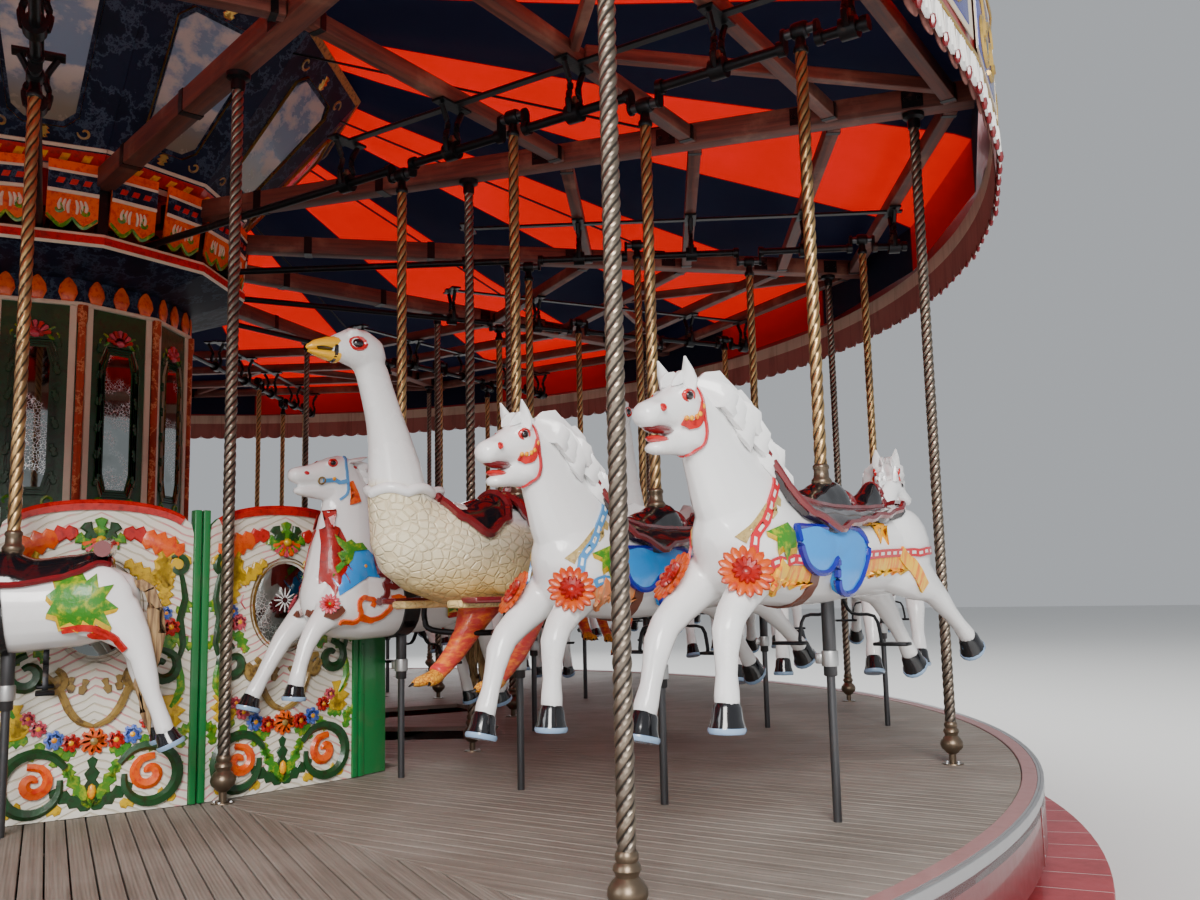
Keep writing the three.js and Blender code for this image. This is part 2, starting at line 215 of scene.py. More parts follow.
class Shape:
    # a mesh under construction, with its finishes
    def __init__(self):
        self.bm = bmesh.new()
        self.finishes = []

    def slotOf(self, material):
        if material not in self.finishes:
            self.finishes.append(material)
        return self.finishes.index(material)

    def take(self, other, matrix=None):
        # adds a finished mesh, moved by matrix
        slots = [self.slotOf(m) for m in other.materials]
        before, faces = len(self.bm.verts), len(self.bm.faces)
        self.bm.from_mesh(other)
        self.bm.verts.ensure_lookup_table()
        self.bm.faces.ensure_lookup_table()
        if slots != list(range(len(slots))):
            for f in self.bm.faces[faces:]:
                f.material_index = slots[f.material_index] if slots else 0
        if matrix is not None:
            bmesh.ops.transform(self.bm, matrix=matrix, verts=self.bm.verts[before:])
            if matrix.determinant() < 0:
                bmesh.ops.reverse_faces(self.bm, faces=self.bm.faces[faces:])
        return self

    def add(self, part, material, matrix=None):
        # adds a bmesh made of one finish and frees it
        slot = self.slotOf(material)
        if matrix is not None:
            bmesh.ops.transform(part, matrix=matrix, verts=part.verts)
        bmesh.ops.recalc_face_normals(part, faces=part.faces)
        for f in part.faces:
            f.material_index = slot
        pour(part, self.bm)
        return self

    def mesh(self, name, sharp=35, local=True):
        # shaded smooth but for the sharp edges; `local` keeps each corner's own place for the paints
        for f in self.bm.faces:
            f.smooth = True
        limit = math.radians(sharp)
        for e in self.bm.edges:
            if len(e.link_faces) == 2:
                e.smooth = e.calc_face_angle(0) < limit
        if local:
            vectors = self.bm.verts.layers.float_vector
            layer = vectors.get("local") or vectors.new("local")
            for v in self.bm.verts:
                v[layer] = v.co
        return self.asIs(name)

    def asIs(self, name):
        made = bpy.data.meshes.new(name)
        self.bm.to_mesh(made)
        self.bm.free()
        for m in self.finishes:
            made.materials.append(m)
        return made

    def triangles(self):
        return sum(len(f.verts) - 2 for f in self.bm.faces)


def linked(name, data):
    made = bpy.data.objects.new(name, data)
    bpy.context.scene.collection.objects.link(made)
    return made


def putOut(mesh, name, body, nodes):
    # a finished piece that rides on a body in place of CAD nodes
    made = linked(name, mesh)
    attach(made, body)
    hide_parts(*nodes)
    return made


def stamp(unit, matrices, name):
    # copies of one unit as one mesh; `pick` is a random number for each copy
    whole = Shape()
    pick = whole.bm.verts.layers.float.new("pick")
    for m in matrices:
        before = len(whole.bm.verts)
        whole.take(unit, m)
        whole.bm.verts.ensure_lookup_table()
        value = dice.random()
        for v in whole.bm.verts[before:]:
            v[pick] = value
    return whole.asIs(name)


def softened(part, edges, width, segments):
    bmesh.ops.bevel(part, geom=edges, offset=width, segments=segments, profile=0.5, affect="EDGES", material=-1)


def block(x0, x1, y0, y1, z0, z1, bevel=0.004, segments=2):
    part = bmesh.new()
    bmesh.ops.create_cube(part, size=1)
    size = Matrix.Diagonal((x1 - x0, y1 - y0, z1 - z0, 1))
    bmesh.ops.transform(part, matrix=shift((x0 + x1) / 2, (y0 + y1) / 2, (z0 + z1) / 2) @ size, verts=part.verts)
    if bevel:
        softened(part, part.edges[:], bevel, segments)
    return part


def lathe(profile, steps=24):
    # a profile of (radius, z) spun about Z; ends at radius 0 close by themselves
    part = bmesh.new()
    verts = [part.verts.new((r, 0, z)) for r, z in profile]
    edges = [part.edges.new(pair) for pair in zip(verts, verts[1:])]
    bmesh.ops.spin(part, geom=edges, cent=(0, 0, 0), axis=(0, 0, 1), angle=math.tau, steps=steps, use_merge=True)
    bmesh.ops.remove_doubles(part, verts=part.verts, dist=1e-5)
    return part


def loft(stations, sides=12, start=0.0, pinch=None):
    # a closed skin over stations of (centre, way, side, rx, ry): one ring is extruded from each to the next
    part = bmesh.new()
    first = frameAt(*stations[0])
    ring = bmesh.ops.create_circle(part, cap_ends=True, radius=1, segments=sides)["verts"]
    bmesh.ops.rotate(part, cent=(0, 0, 0), matrix=Matrix.Rotation(start, 3, "Z"), verts=ring)
    if pinch:
        for i, v in enumerate(ring):
            v.co *= pinch[i % len(pinch)]
    bmesh.ops.transform(part, matrix=first, verts=ring)
    edges = part.edges[:]
    old = first
    for s in stations[1:]:
        new = frameAt(*s)
        out = bmesh.ops.extrude_edge_only(part, edges=edges)["geom"]
        verts = newVerts(out)
        edges = [g for g in out if isinstance(g, bmesh.types.BMEdge) and all(v in verts for v in g.verts)]
        bmesh.ops.transform(part, matrix=new @ old.inverted(), verts=verts)
        old = new
    bmesh.ops.contextual_create(part, geom=edges)
    return part


def along(points, radius, sides=8, side=(0, 0, 1)):
    # a round bar through points; radius is a number or (rx, ry), or a list of them, one for each point
    points = [Vector(p) for p in points]
    stations = []
    for i, p in enumerate(points):
        way = points[min(i + 1, len(points) - 1)] - points[max(i - 1, 0)]
        r = radius[i] if isinstance(radius, list) else radius
        rx, ry = r if isinstance(r, (list, tuple)) else (r, r)
        s = Vector(side)
        if abs(way.normalized().dot(s)) > 0.97:
            s = Vector((1, 0, 0)) if abs(way.normalized().x) < 0.9 else Vector((0, 1, 0))
        stations.append((p, way, s, rx, ry))
    return loft(stations, sides)


def bent(points, steps=6):
    # a smooth line through the points
    pts = [Vector(p) for p in points]
    line = []
    for i in range(len(pts) - 1):
        a, b = pts[max(i - 1, 0)], pts[i]
        c, d = pts[i + 1], pts[min(i + 2, len(pts) - 1)]
        for k in range(steps):
            t = k / steps
            square, cube = (2 * a - 5 * b + 4 * c - d) * t * t, (3 * b - a - 3 * c + d) * t**3
            line.append(0.5 * (2 * b + (c - a) * t + square + cube))
    return line + [pts[-1]]


def plate(outline, thick, bevel=0.0, inset=0.0, rise=0.0):
    # a flat outline of (x, y) corners, thick along Z, with a rounded or stepped face
    part = bmesh.new()
    face = part.faces.new([part.verts.new((x, y, 0)) for x, y in outline])
    face.normal_update()
    if face.normal.z < 0:
        face.normal_flip()
    out = bmesh.ops.extrude_face_region(part, geom=[face])["geom"]
    top = [g for g in out if isinstance(g, bmesh.types.BMFace)]
    bmesh.ops.translate(part, vec=(0, 0, thick), verts=[v for f in top for v in f.verts])
    if inset:
        bmesh.ops.inset_region(part, faces=top, thickness=inset, depth=rise, use_even_offset=True)
    if bevel:
        rim = [e for f in top for e in f.edges]
        softened(part, rim, bevel, 2)
    return part


def ball(radius, stretch=(1, 1, 1), at=(0, 0, 0), u=12, v=8):
    part = bmesh.new()
    bmesh.ops.create_uvsphere(part, u_segments=u, v_segments=v, radius=radius)
    bmesh.ops.transform(part, matrix=shift(*at) @ Matrix.Diagonal((*stretch, 1)), verts=part.verts)
    return part


def enamel(name, colour, rough=0.22, coat=0.4, worn=0.15, dirt=(0.16, 0.13, 0.1)):
    # brush-painted gloss with slight unevenness and a little grime
    p = Paint(name, colour, rough, 0.0, coat)
    where = p.place()
    grime = p.step(p.noise(where, 9, 5, 0.6), 0.5, 0.85) * worn
    streak = p.noise(where, 30, 3)
    tone = p.blend(streak * 0.25, colour, tuple(c * 0.72 for c in colour))
    tone = p.blend(grime, tone, dirt)
    return p.feed(
        Base_Color=tone,
        Roughness=p.noise(where, 24, 3) * 0.18 + (rough - 0.06) + grime * 0.5,
        Normal=p.bump(p.noise(where, 55, 2), 0.0006, 0.5),
    )


def carved(name, colour, shade, rough=0.32, fine=38):
    # painted carving: the shade gathers in the cuts and the tone wanders over the leaves
    p = Paint(name, colour, rough, 0.0, 0.2)
    where = p.place()
    veins = p.noise(where, fine, 4, 0.65)
    tone = p.blend(p.step(veins, 0.45, 0.7), colour, shade)
    return p.feed(
        Base_Color=p.blend(p.step(p.noise(where, 6, 2), 0.45, 0.75) * 0.35, tone, tuple(c * 0.5 for c in shade)),
        Roughness=veins * 0.25 + rough - 0.08,
        Normal=p.bump(veins, 0.004, 0.6),
    )


def iron(name, colour=(0.018, 0.018, 0.02), rough=0.42):
    # cast or turned metal with rust in patches
    p = Paint(name, colour, rough, 0.75)
    where = p.place()
    rust = p.step(p.noise(where, 13, 5, 0.65), 0.58, 0.8)
    grain = p.noise(where, 85, 3)
    return p.feed(
        Base_Color=p.blend(rust * 0.55, colour, (0.13, 0.065, 0.035)),
        Roughness=rust * 0.3 + grain * 0.15 + (rough - 0.08),
        Metallic=0.8 - rust * 0.5,
        Normal=p.bump(grain, 0.0008, 0.5),
    )


def twistedMetal(name, bright, dull, deep):
    # rope-twisted tube: worn bright on the ridges, dark in the grooves
    p = Paint(name, bright, 0.38, 0.85)
    where = p.place()
    ridge = p.number("ridge")
    patina = p.noise(where, 5, 4, 0.6)
    tone = p.blend(p.step(patina, 0.35, 0.7), bright, dull)
    return p.feed(
        Base_Color=p.blend(p.step(ridge, 0.15, 0.6), deep, tone),
        Roughness=patina * 0.3 + 0.22,
        Metallic=p.step(ridge, 0.0, 0.5) * 0.5 + 0.42,
        Normal=p.bump(p.noise(where, 120, 2), 0.0005, 0.5),
    )


def timber(name, colour, pale, dark):
    # stained beams, grain along their own X, paint rubbed off in places
    p = Paint(name, colour, 0.6, 0.0)
    grain = p.noise(p.stretch(p.local(), (2.2, 38, 38)), 1.0, 6, 0.62)
    rubbed = p.step(p.noise(p.place(), 3.2, 5, 0.6), 0.5, 0.68)
    tone = p.blend(p.step(grain, 0.3, 0.7), dark, colour)
    return p.feed(
        Base_Color=p.blend(rubbed * 0.55, tone, pale),
        Roughness=grain * 0.3 + 0.42,
        Normal=p.bump(grain, 0.003, 0.6),
    )


def boards():
    # silver-brown hardwood, ribbed along its length, each board its own tone
    p = Paint("deckBoards", (0.27, 0.23, 0.19), 0.7)
    at = p.local()
    _, y, _ = p.parts(at)
    tint = p.number("pick")
    grain = p.noise(p.stretch(at, (1.6, 60, 60)), 1.0, 7, 0.65)
    rib = p.sine(y * 560.0)
    stain = p.step(p.noise(p.place(), 1.7, 5, 0.6), 0.42, 0.7)
    tone = p.blend(p.step(grain, 0.25, 0.75), (0.12, 0.098, 0.08), (0.31, 0.275, 0.235))
    tone = p.blend(tint * 0.5, tone, (0.2, 0.165, 0.135))
    return p.feed(
        Base_Color=p.blend(stain * 0.35, tone, (0.37, 0.34, 0.3)),
        Roughness=grain * 0.3 + 0.45,
        Normal=p.bump(grain * 0.7 + rib * 0.14, 0.0035, 0.7),
    )


def galvanised(name, colour):
    # zinc with a faint spangle
    p = Paint(name, colour, 0.4, 0.85)
    where = p.place()
    spangle = p.cells(where, 26, out=1)
    tone = p.blend(0.35, colour, spangle)
    grey = p.blend(p.noise(where, 7, 4) * 0.8, colour, tuple(c * 0.6 for c in colour))
    level = p.node("RGBToBW", {}, tone)
    return p.feed(
        Base_Color=p.blend(level * 0.5, grey, (0.62, 0.63, 0.64)),
        Roughness=level * 0.25 + 0.28,
        Normal=p.bump(p.noise(where, 60, 3), 0.0006, 0.4),
    )


def stepPaint():
    # dark red tread with pale radial lines on its top
    p = Paint("stepRed", (0.33, 0.02, 0.03), 0.42, 0.0, 0.15)
    line = 1.0 - p.step(abs(p.bearing() % 2.5 - 1.25), 0.012, 0.03)
    top = p.step(p.parts(p.place())[2], 0.244, 0.248)
    grime = p.noise(p.place(), 6, 6, 0.65)
    tone = p.blend(p.step(grime, 0.4, 0.8) * 0.6, (0.36, 0.022, 0.03), (0.16, 0.03, 0.03))
    return p.feed(
        Base_Color=p.blend(line * top * 0.85, tone, (0.75, 0.68, 0.66)),
        Roughness=grime * 0.4 + 0.28,
        Normal=p.bump(p.noise(p.place(), 90, 3), 0.001, 0.5),
    )


def canvas():
    # heavy canvas in radial gores, red over the rows and navy over the swifts; light comes through it
    p = Paint("canopyCanvas", (0.8, 0.05, 0.03), 0.85)
    where = p.place()
    bay = p.bearing(367.5) % 30.0
    navy = p.step(bay, 14.93, 15.07)
    seam = p.step(abs(bay % 15.0 - 7.5), 7.36, 7.42)
    weave = p.noise(where, 420, 2)
    fade = p.noise(where, 1.3, 4, 0.6)
    redTone = p.blend(fade * 0.6, (0.92, 0.028, 0.02), (0.7, 0.02, 0.02))
    navyTone = p.blend(fade, (0.011, 0.016, 0.055), (0.02, 0.03, 0.085))
    tone = p.blend(navy, redTone, navyTone)
    tone = p.blend(seam * 0.5, tone, (0.05, 0.01, 0.02))
    p.feed(Base_Color=tone, Normal=p.bump(weave, 0.0012, 0.5))
    through = p.node("BsdfTranslucent", {}, Color=tone)
    both = p.node("MixShader", {}, 0.55)
    mixer = both.socket.node
    p.tree.links.new(p.shader.outputs[0], mixer.inputs[1])
    p.tree.links.new(through.socket, mixer.inputs[2])
    p.tree.links.new(mixer.outputs[0], p.tree.nodes["Material Output"].inputs[0])
    return p.material


def valanceCloth(name, colour, stained):
    # faded cloth with water stains running down it and a seam every 3.75 degrees
    p = Paint(name, colour, 0.78)
    where = p.place()
    seam = p.step(abs(p.bearing() % 3.75 - 1.875), 1.84, 1.86)
    drip = p.noise(p.stretch(where, (9, 9, 1.6)), 1.0, 6, 0.6)
    tone = p.blend(p.step(drip, 0.42, 0.72) * 0.7, colour, stained)
    return p.feed(
        Base_Color=p.blend(seam * 0.6, tone, tuple(c * 0.35 for c in colour)),
        Roughness=drip * 0.2 + 0.62,
        Normal=p.bump(p.noise(where, 260, 2) * 0.4 + drip, 0.002, 0.6),
    )


def mirrorGlass():
    # old mirror: hazy, with a fine etched net in places
    p = Paint("etchedMirror", (0.3, 0.32, 0.31), 0.04, 1.0)
    where = p.place()
    haze = p.step(p.noise(where, 6, 5, 0.6), 0.5, 0.8)
    spray = p.step(p.noise(where, 3.5, 2), 0.46, 0.54)
    etched = (1.0 - p.step(p.cells(where, 62, "DISTANCE_TO_EDGE"), 0.03, 0.07)) * spray
    return p.feed(
        Base_Color=p.blend(etched, p.blend(haze * 0.5, (0.3, 0.32, 0.31), (0.09, 0.1, 0.08)), (0.75, 0.77, 0.76)),
        Roughness=etched * 0.35 + 0.03,
    )


def marbled(name, colour, vein, scale=7):
    # brushed marbling, with veins where the cloud crosses its middle
    p = Paint(name, colour, 0.3, 0.0, 0.0, **{"Specular IOR Level": 0.15})
    where = p.place()
    cloud = p.noise(where, scale, 6, 0.7)
    line = 1.0 - p.step(abs(cloud - 0.5), 0.0, 0.035)
    tone = p.blend(p.step(cloud, 0.35, 0.65), colour, tuple(c * 0.55 for c in colour))
    return p.feed(
        Base_Color=p.blend(line * 0.8, tone, vein),
        Roughness=cloud * 0.2 + 0.4,
        Normal=p.bump(cloud, 0.0008, 0.4),
    )


def creamGround():
    # cream panel ground with carved ribs that fan out, and pink lines in the cuts
    p = Paint("ribbedCream", (0.78, 0.72, 0.6), 0.38, 0.0, 0.15)
    at = p.local()
    _, y, z = p.parts(at)
    rib = p.sine(z * 190.0 + p.noise(at, 9, 2) * 7.0 + abs(y) * 90.0)
    cut = p.step(rib, 0.55, 0.98)
    patch = p.step(p.noise(at, 7, 4), 0.5, 0.6)
    tone = p.blend(cut * 0.75, (0.8, 0.76, 0.66), p.blend(patch, (0.52, 0.46, 0.32), (0.72, 0.16, 0.2)))
    return p.feed(
        Base_Color=tone,
        Roughness=rib * 0.06 + 0.4,
        Normal=p.bump(1.0 - cut, 0.003, 0.7),
    )


white = enamel("whiteEnamel", (0.83, 0.83, 0.82), 0.17, 0.35, 0.1)
black = enamel("blackGloss", (0.008, 0.008, 0.01), 0.12, 0.6, 0.1, (0.05, 0.05, 0.05))
maroon = enamel("maroonGloss", (0.17, 0.012, 0.016), 0.16, 0.6, 0.2)
soleBlue = enamel("soleBlue", (0.28, 0.42, 0.62), 0.22, 0.4, 0.2)
strapRed = enamel("strapRed", (0.55, 0.008, 0.018), 0.2)
strapBlue = enamel("strapBlue", (0.1, 0.33, 0.66), 0.2)
dashWhite = enamel("dashWhite", (0.85, 0.83, 0.8), 0.25)
skyBlue = enamel("skyBlue", (0.03, 0.3, 0.8), 0.18, 0.4)
deepBlue = enamel("deepBlue", (0.004, 0.012, 0.3), 0.18, 0.5)
yellow = carved("yellowPaint", (0.86, 0.42, 0.0), (0.78, 0.14, 0.0))
orange = carved("orangePaint", (0.8, 0.11, 0.0), (0.6, 0.02, 0.0))
redCarved = carved("redCarved", (0.56, 0.012, 0.008), (0.3, 0.0, 0.0))
lace = carved("goldLace", (0.55, 0.4, 0.14), (0.32, 0.2, 0.06), 0.4, 90)
leafGreen = carved("leafGreen", (0.035, 0.22, 0.012), (0.36, 0.42, 0.01))
darkGreen = carved("darkGreen", (0.008, 0.065, 0.015), (0.02, 0.03, 0.008))
pink = carved("pinkPaint", (0.66, 0.09, 0.13), (0.4, 0.02, 0.04))
blueFlower = carved("blueFlower", (0.05, 0.12, 0.55), (0.2, 0.3, 0.7))
leafYellow = carved("leafYellow", (0.66, 0.42, 0.008), (0.36, 0.2, 0.0))
goldBrown = carved("goldBrown", (0.32, 0.2, 0.05), (0.09, 0.045, 0.015), 0.35)
gilt = iron("giltFrame", (0.62, 0.4, 0.1), 0.3)
postGreen = enamel("postGreen", (0.01, 0.19, 0.045), 0.28, 0.3, 0.25)
brownLeather = enamel("brownLeather", (0.16, 0.05, 0.03), 0.3, 0.3, 0.3)
steel = iron("darkSteel", (0.09, 0.09, 0.095), 0.38)
blackIron = iron("blackIron")
silver = galvanised("silverClamp", (0.55, 0.55, 0.54))
galv = galvanised("galvanisedStrip", (0.5, 0.51, 0.52))
weathered = twistedMetal("weatheredTwist", (0.3, 0.24, 0.18), (0.17, 0.14, 0.115), (0.03, 0.024, 0.02))
brassTwist = twistedMetal("brassTwist", (0.62, 0.4, 0.17), (0.34, 0.21, 0.1), (0.05, 0.03, 0.015))
bronze = iron("bronzeTurned", (0.17, 0.125, 0.085), 0.36)
beamWood = timber("stainedTimber", (0.17, 0.045, 0.028), (0.3, 0.14, 0.09), (0.06, 0.016, 0.012))
mirror = mirrorGlass()
marbleRed = marbled("marbledRed", (0.5, 0.06, 0.02), (0.75, 0.3, 0.12))
marbleNavy = marbled("marbledNavy", (0.008, 0.012, 0.035), (0.05, 0.075, 0.12), 4)
cream = enamel("creamLine", (0.72, 0.62, 0.46), 0.3, 0.2, 0.3)
mauve = enamel("rimMauve", (0.36, 0.17, 0.165), 0.42, 0.1, 0.45, (0.25, 0.2, 0.18))
skirtRed = enamel("skirtRed", (0.16, 0.006, 0.01), 0.3, 0.3, 0.25)
basePaint = enamel("baseGreen", (0.02, 0.045, 0.035), 0.45, 0.1, 0.5)
creamRibs = creamGround()


deck = {"boards": 42, "gap": 0.0055, "inner": 2.842, "outer": 5.567, "thick": 0.028, "edge": 0.0022, "shuffle": 90}


def deckBoard(i):
    # board i of one bay: mitred on both sides and cut to the well and the rim
    rim, well = deck["outer"], deck["inner"]
    width = 2 * rim * math.sin(pitch / 2) / deck["boards"]
    y0 = (i - deck["boards"] / 2) * width + deck["gap"] / 2
    y1 = y0 + width - deck["gap"]
    part = block(1.0, 6.0, y0, y1, deckTop - deck["thick"], deckTop, 0)
    for side in (1, -1):
        normal = Vector((-math.sin(pitch / 2), side * math.cos(pitch / 2), 0))
        geom = part.verts[:] + part.edges[:] + part.faces[:]
        bmesh.ops.bisect_plane(part, geom=geom, plane_co=normal * -0.002, plane_no=normal, clear_outer=True)
        cut = [e for e in part.edges if e.is_boundary]
        if cut:
            bmesh.ops.holes_fill(part, edges=cut)
    for v in part.verts:
        if v.co.x > 5.9:
            v.co.x = math.sqrt(rim**2 - v.co.y**2)
        elif v.co.x < 1.1:
            v.co.x = math.sqrt(well**2 - v.co.y**2)
    joint = math.sqrt(well**2 - max(abs(y0), abs(y1)) ** 2)  # an eased line across the board at the well
    geom = part.verts[:] + part.edges[:] + part.faces[:]
    bmesh.ops.bisect_plane(part, geom=geom, plane_co=(joint, 0, 0), plane_no=(-1, 0, 0))
    top = [e for e in part.edges if all(v.co.z > deckTop - 1e-4 for v in e.verts) and not e.is_boundary]
    softened(part, top, deck["edge"], 1)
    return Shape().add(part, planks).mesh("board")


def deckBoards():
    whole = Shape()
    pick = whole.bm.verts.layers.float.new("pick")
    for i in range(deck["boards"]):
        board = deckBoard(i)
        for a in rowAngles:
            before = len(whole.bm.verts)
            whole.take(board, turnZ(a))
            whole.bm.verts.ensure_lookup_table()
            value = dice.random()
            layer = whole.bm.verts.layers.float_vector["local"]
            for v in whole.bm.verts[before:]:
                v[pick] = value
                v[layer] = v[layer] + Vector((0, 0, value * deck["shuffle"]))
    return whole.asIs("deckBoards")


planks = boards()
putOut(deckBoards(), "deckBoards", "turntable", ["platform_deck"])
print("deck laid")


rimLines = {
    "band": [(5.571, 0.534), (5.571, 0.603), (5.574, 0.606), (5.628, 0.606), (5.63, 0.604), (5.63, 0.534)],
    "strip": [
        (5.631, 0.536), (5.631, 0.6055), (5.6325, 0.607), (5.641, 0.607), (5.642, 0.604), (5.643, 0.607),
        (5.653, 0.607), (5.6555, 0.604), (5.6555, 0.572), (5.6535, 0.57), (5.6535, 0.54),
    ],
    "skirt": [
        (5.646, 0.569), (5.6535, 0.567), (5.6535, 0.36), (5.65, 0.353), (5.644, 0.352), (5.641, 0.36),
        (5.641, 0.566),
    ],
    "step": [
        (5.2, 0.002), (5.2, 0.25), (5.872, 0.25), (5.878, 0.247), (5.88, 0.241), (5.88, 0.0), (5.856, 0.0),
        (5.856, 0.226), (5.225, 0.226), (5.225, 0.0),
    ],
}


def hoop(name):
    return lathe(rimLines[name] + rimLines[name][:1], 192)


def rimBand():
    shape = Shape()
    for name, finish in (("band", mauve), ("strip", galv), ("skirt", skirtRed)):
        shape.add(hoop(name), finish)
    whole = Shape().take(shape.mesh("rim"))
    batten = Shape().add(block(5.6525, 5.6555, -0.018, 0.018, 0.356, 0.568, 0.001, 1), skirtRed)
    for z in (0.39, 0.46, 0.53):
        screw = lathe([(0, 0.003), (0.004, 0.002), (0.0055, 0)], 8)
        batten.add(screw, galv, shift(5.6552, 0, z) @ quarter("Y"))
    unit = batten.mesh("batten")
    for k in range(2 * sections):
        whole.take(unit, turnZ((k + 0.5) * pitch / 2))
    return whole.mesh("rimBand")


putOut(rimBand(), "rimBand", "turntable", ["platform_rim"])
stepRing = Shape().add(hoop("step"), stepPaint()).mesh("stepRing")
putOut(stepRing, "stepRing", "base", ["step_ring"])


twist = {"lobes": 4, "dips": (1.0, 0.95, 0.8, 0.95), "deep": 0.8}


def twisted(z0, z1, radius, material, turnLength=0.15, step=0.012):
    # a rope-twisted tube; `ridge` is 1 on the crests and 0 in the grooves
    dips = twist["dips"]
    part = bmesh.new()
    ridge = part.verts.layers.float.new("ridge")
    around = twist["lobes"] * len(dips)
    ring = bmesh.ops.create_circle(part, cap_ends=True, radius=radius, segments=around)["verts"]
    for i, v in enumerate(ring):
        dip = dips[i % len(dips)]
        v.co *= dip
        v[ridge] = (dip - twist["deep"]) / (1 - twist["deep"])
        v.co.z = z0
    edges = part.edges[:]
    count = max(2, round((z1 - z0) / step))
    turn = Matrix.Rotation(math.tau * (z1 - z0) / count / turnLength, 3, "Z")
    for _ in range(count):
        out = bmesh.ops.extrude_edge_only(part, edges=edges)["geom"]
        verts = newVerts(out)
        edges = [g for g in out if isinstance(g, bmesh.types.BMEdge) and all(v in verts for v in g.verts)]
        bmesh.ops.rotate(part, cent=(0, 0, 0), matrix=turn, verts=verts)
        bmesh.ops.translate(part, vec=(0, 0, (z1 - z0) / count), verts=verts)
    bmesh.ops.contextual_create(part, geom=edges)
    return Shape().add(part, material)


hanger = {
    "radius": 0.025, "top": 3.634, "foot": 0.155, "outer": 5.29, "inner": 2.95, "boltRing": 0.034,
    "turned": [
        (0, 0.03), (0.024, 0.03), (0.029, 0.022), (0.029, 0.012), (0.026, 0.004), (0.033, -0.004),
        (0.035, -0.014), (0.03, -0.022), (0.028, -0.03), (0.038, -0.04), (0.048, -0.056), (0.05, -0.07),
        (0.045, -0.086), (0.033, -0.096), (0.03, -0.102), (0.022, -0.108), (0.0155, -0.112), (0.0155, -0.15),
        (0.02, -0.1505), (0.045, -0.1507), (0.046, -0.155), (0, -0.155),
    ],
    "cup": [(0, -0.075), (0.028, -0.075), (0.03, -0.06), (0.03, -0.03), (0.05, -0.02), (0.052, 0), (0, 0)],
}


def raised(profile, z, thin=1.0):
    return [(r * thin, z + h) for r, h in profile]


def hangerRod():
    z = deckTop + hanger["foot"]
    made = twisted(z, hanger["top"] - 0.06, hanger["radius"], weathered)
    made.add(lathe(raised(hanger["turned"], z), 20), bronze)
    made.add(lathe(raised(hanger["cup"], hanger["top"]), 16), blackIron)
    for k in range(4):
        spot = turnZ((k + 0.5) * math.pi / 2) @ Vector((hanger["boltRing"], 0, deckTop + 0.004))
        made.add(lathe([(0, 0.006), (0.006, 0.005), (0.007, 0)], 6), galv, shift(*spot))
    return made.mesh("hangerRod")


under = {"top": 0.5697, "inner": 2.87, "outer": 5.53, "deep": 0.07, "crossDeep": 0.05, "crossAt": (3.42, 5.43)}


def underframe():
    # a bearer under each swift and two rings of cross bearers between them
    whole = Shape()
    top = under["top"]
    beam = block(under["inner"], under["outer"], -0.035, 0.035, top - under["deep"], top, 0.004)
    bearer = Shape().add(beam, blackIron).mesh("bearer")
    spreader = block(-0.9, 0.9, -0.03, 0.03, top - under["crossDeep"], top, 0.003)
    cross = Shape().add(spreader, blackIron).mesh("cross")
    for a in swiftAngles:
        whole.take(bearer, turnZ(a))
    for r in under["crossAt"]:
        fit = Matrix.Diagonal((r * math.sin(pitch / 2) / 0.9, 1, 1, 1))
        for a in rowAngles:
            whole.take(cross, turnZ(a) @ shift(r * math.cos(pitch / 2), 0, 0) @ quarter("Z") @ fit)
    return whole.mesh("underframe")


hangerUnit = hangerRod()
for name, radius in (("outerHangers", hanger["outer"]), ("innerHangers", hanger["inner"])):
    rods = stamp(hangerUnit, [turnZ(a) @ shift(radius, 0, 0) for a in swiftAngles], name)
    putOut(rods, name, "turntable", ["platform_hangers"])
putOut(underframe(), "underframe", "turntable", ["platform_hangers"])
print("hangers up")


beams = {"under": 3.635, "top": 3.745, "end": 5.5716, "hub": 0.33, "quarterings": (3.392, 4.075, 4.758, 5.29)}


def swiftUnit():
    # one radial beam with iron cheeks and bolts where the quarterings meet it
    low, high = beams["under"], beams["top"]
    shape = Shape().add(block(beams["hub"], beams["end"], -0.05, 0.05, low, high, 0.007), beamWood)
    head = lathe([(0, 0.0096), (0.0096, 0.0084), (0.012, 0.0042), (0.012, 0)], 6)
    bolt = Shape().add(head, blackIron).mesh("bolt")
    for q in beams["quarterings"]:
        for side in (-1, 1):
            y = 0.05 * side - 0.002
            shape.add(block(q - 0.05, q + 0.05, y, y + 0.004, low + 0.012, high - 0.01, 0.001, 1), blackIron)
            for x in (-0.03, 0.03):
                shape.take(bolt, shift(q + x, side * 0.051, low + 0.055) @ quarter("X", -side))
    for x in (0.95, 1.6, 2.4):
        shape.add(block(x, x + 0.05, -0.053, 0.053, low - 0.003, high + 0.003, 0.002, 1), blackIron)
    return shape.mesh("swift")


def quarteringUnit(q):
    # a cross beam between two swifts with an iron shoe at each end
    low, half = beams["under"], q * math.tan(pitch / 2) - 0.052
    shape = Shape().add(block(-half, half, -0.033, 0.033, low + 0.0005, low + 0.072, 0.005), beamWood)
    for end in (-half + 0.03, half - 0.06):
        shape.add(block(end, end + 0.03, -0.036, 0.036, low - 0.002, low + 0.075, 0.001, 1), blackIron)
    return shape.mesh("quartering")


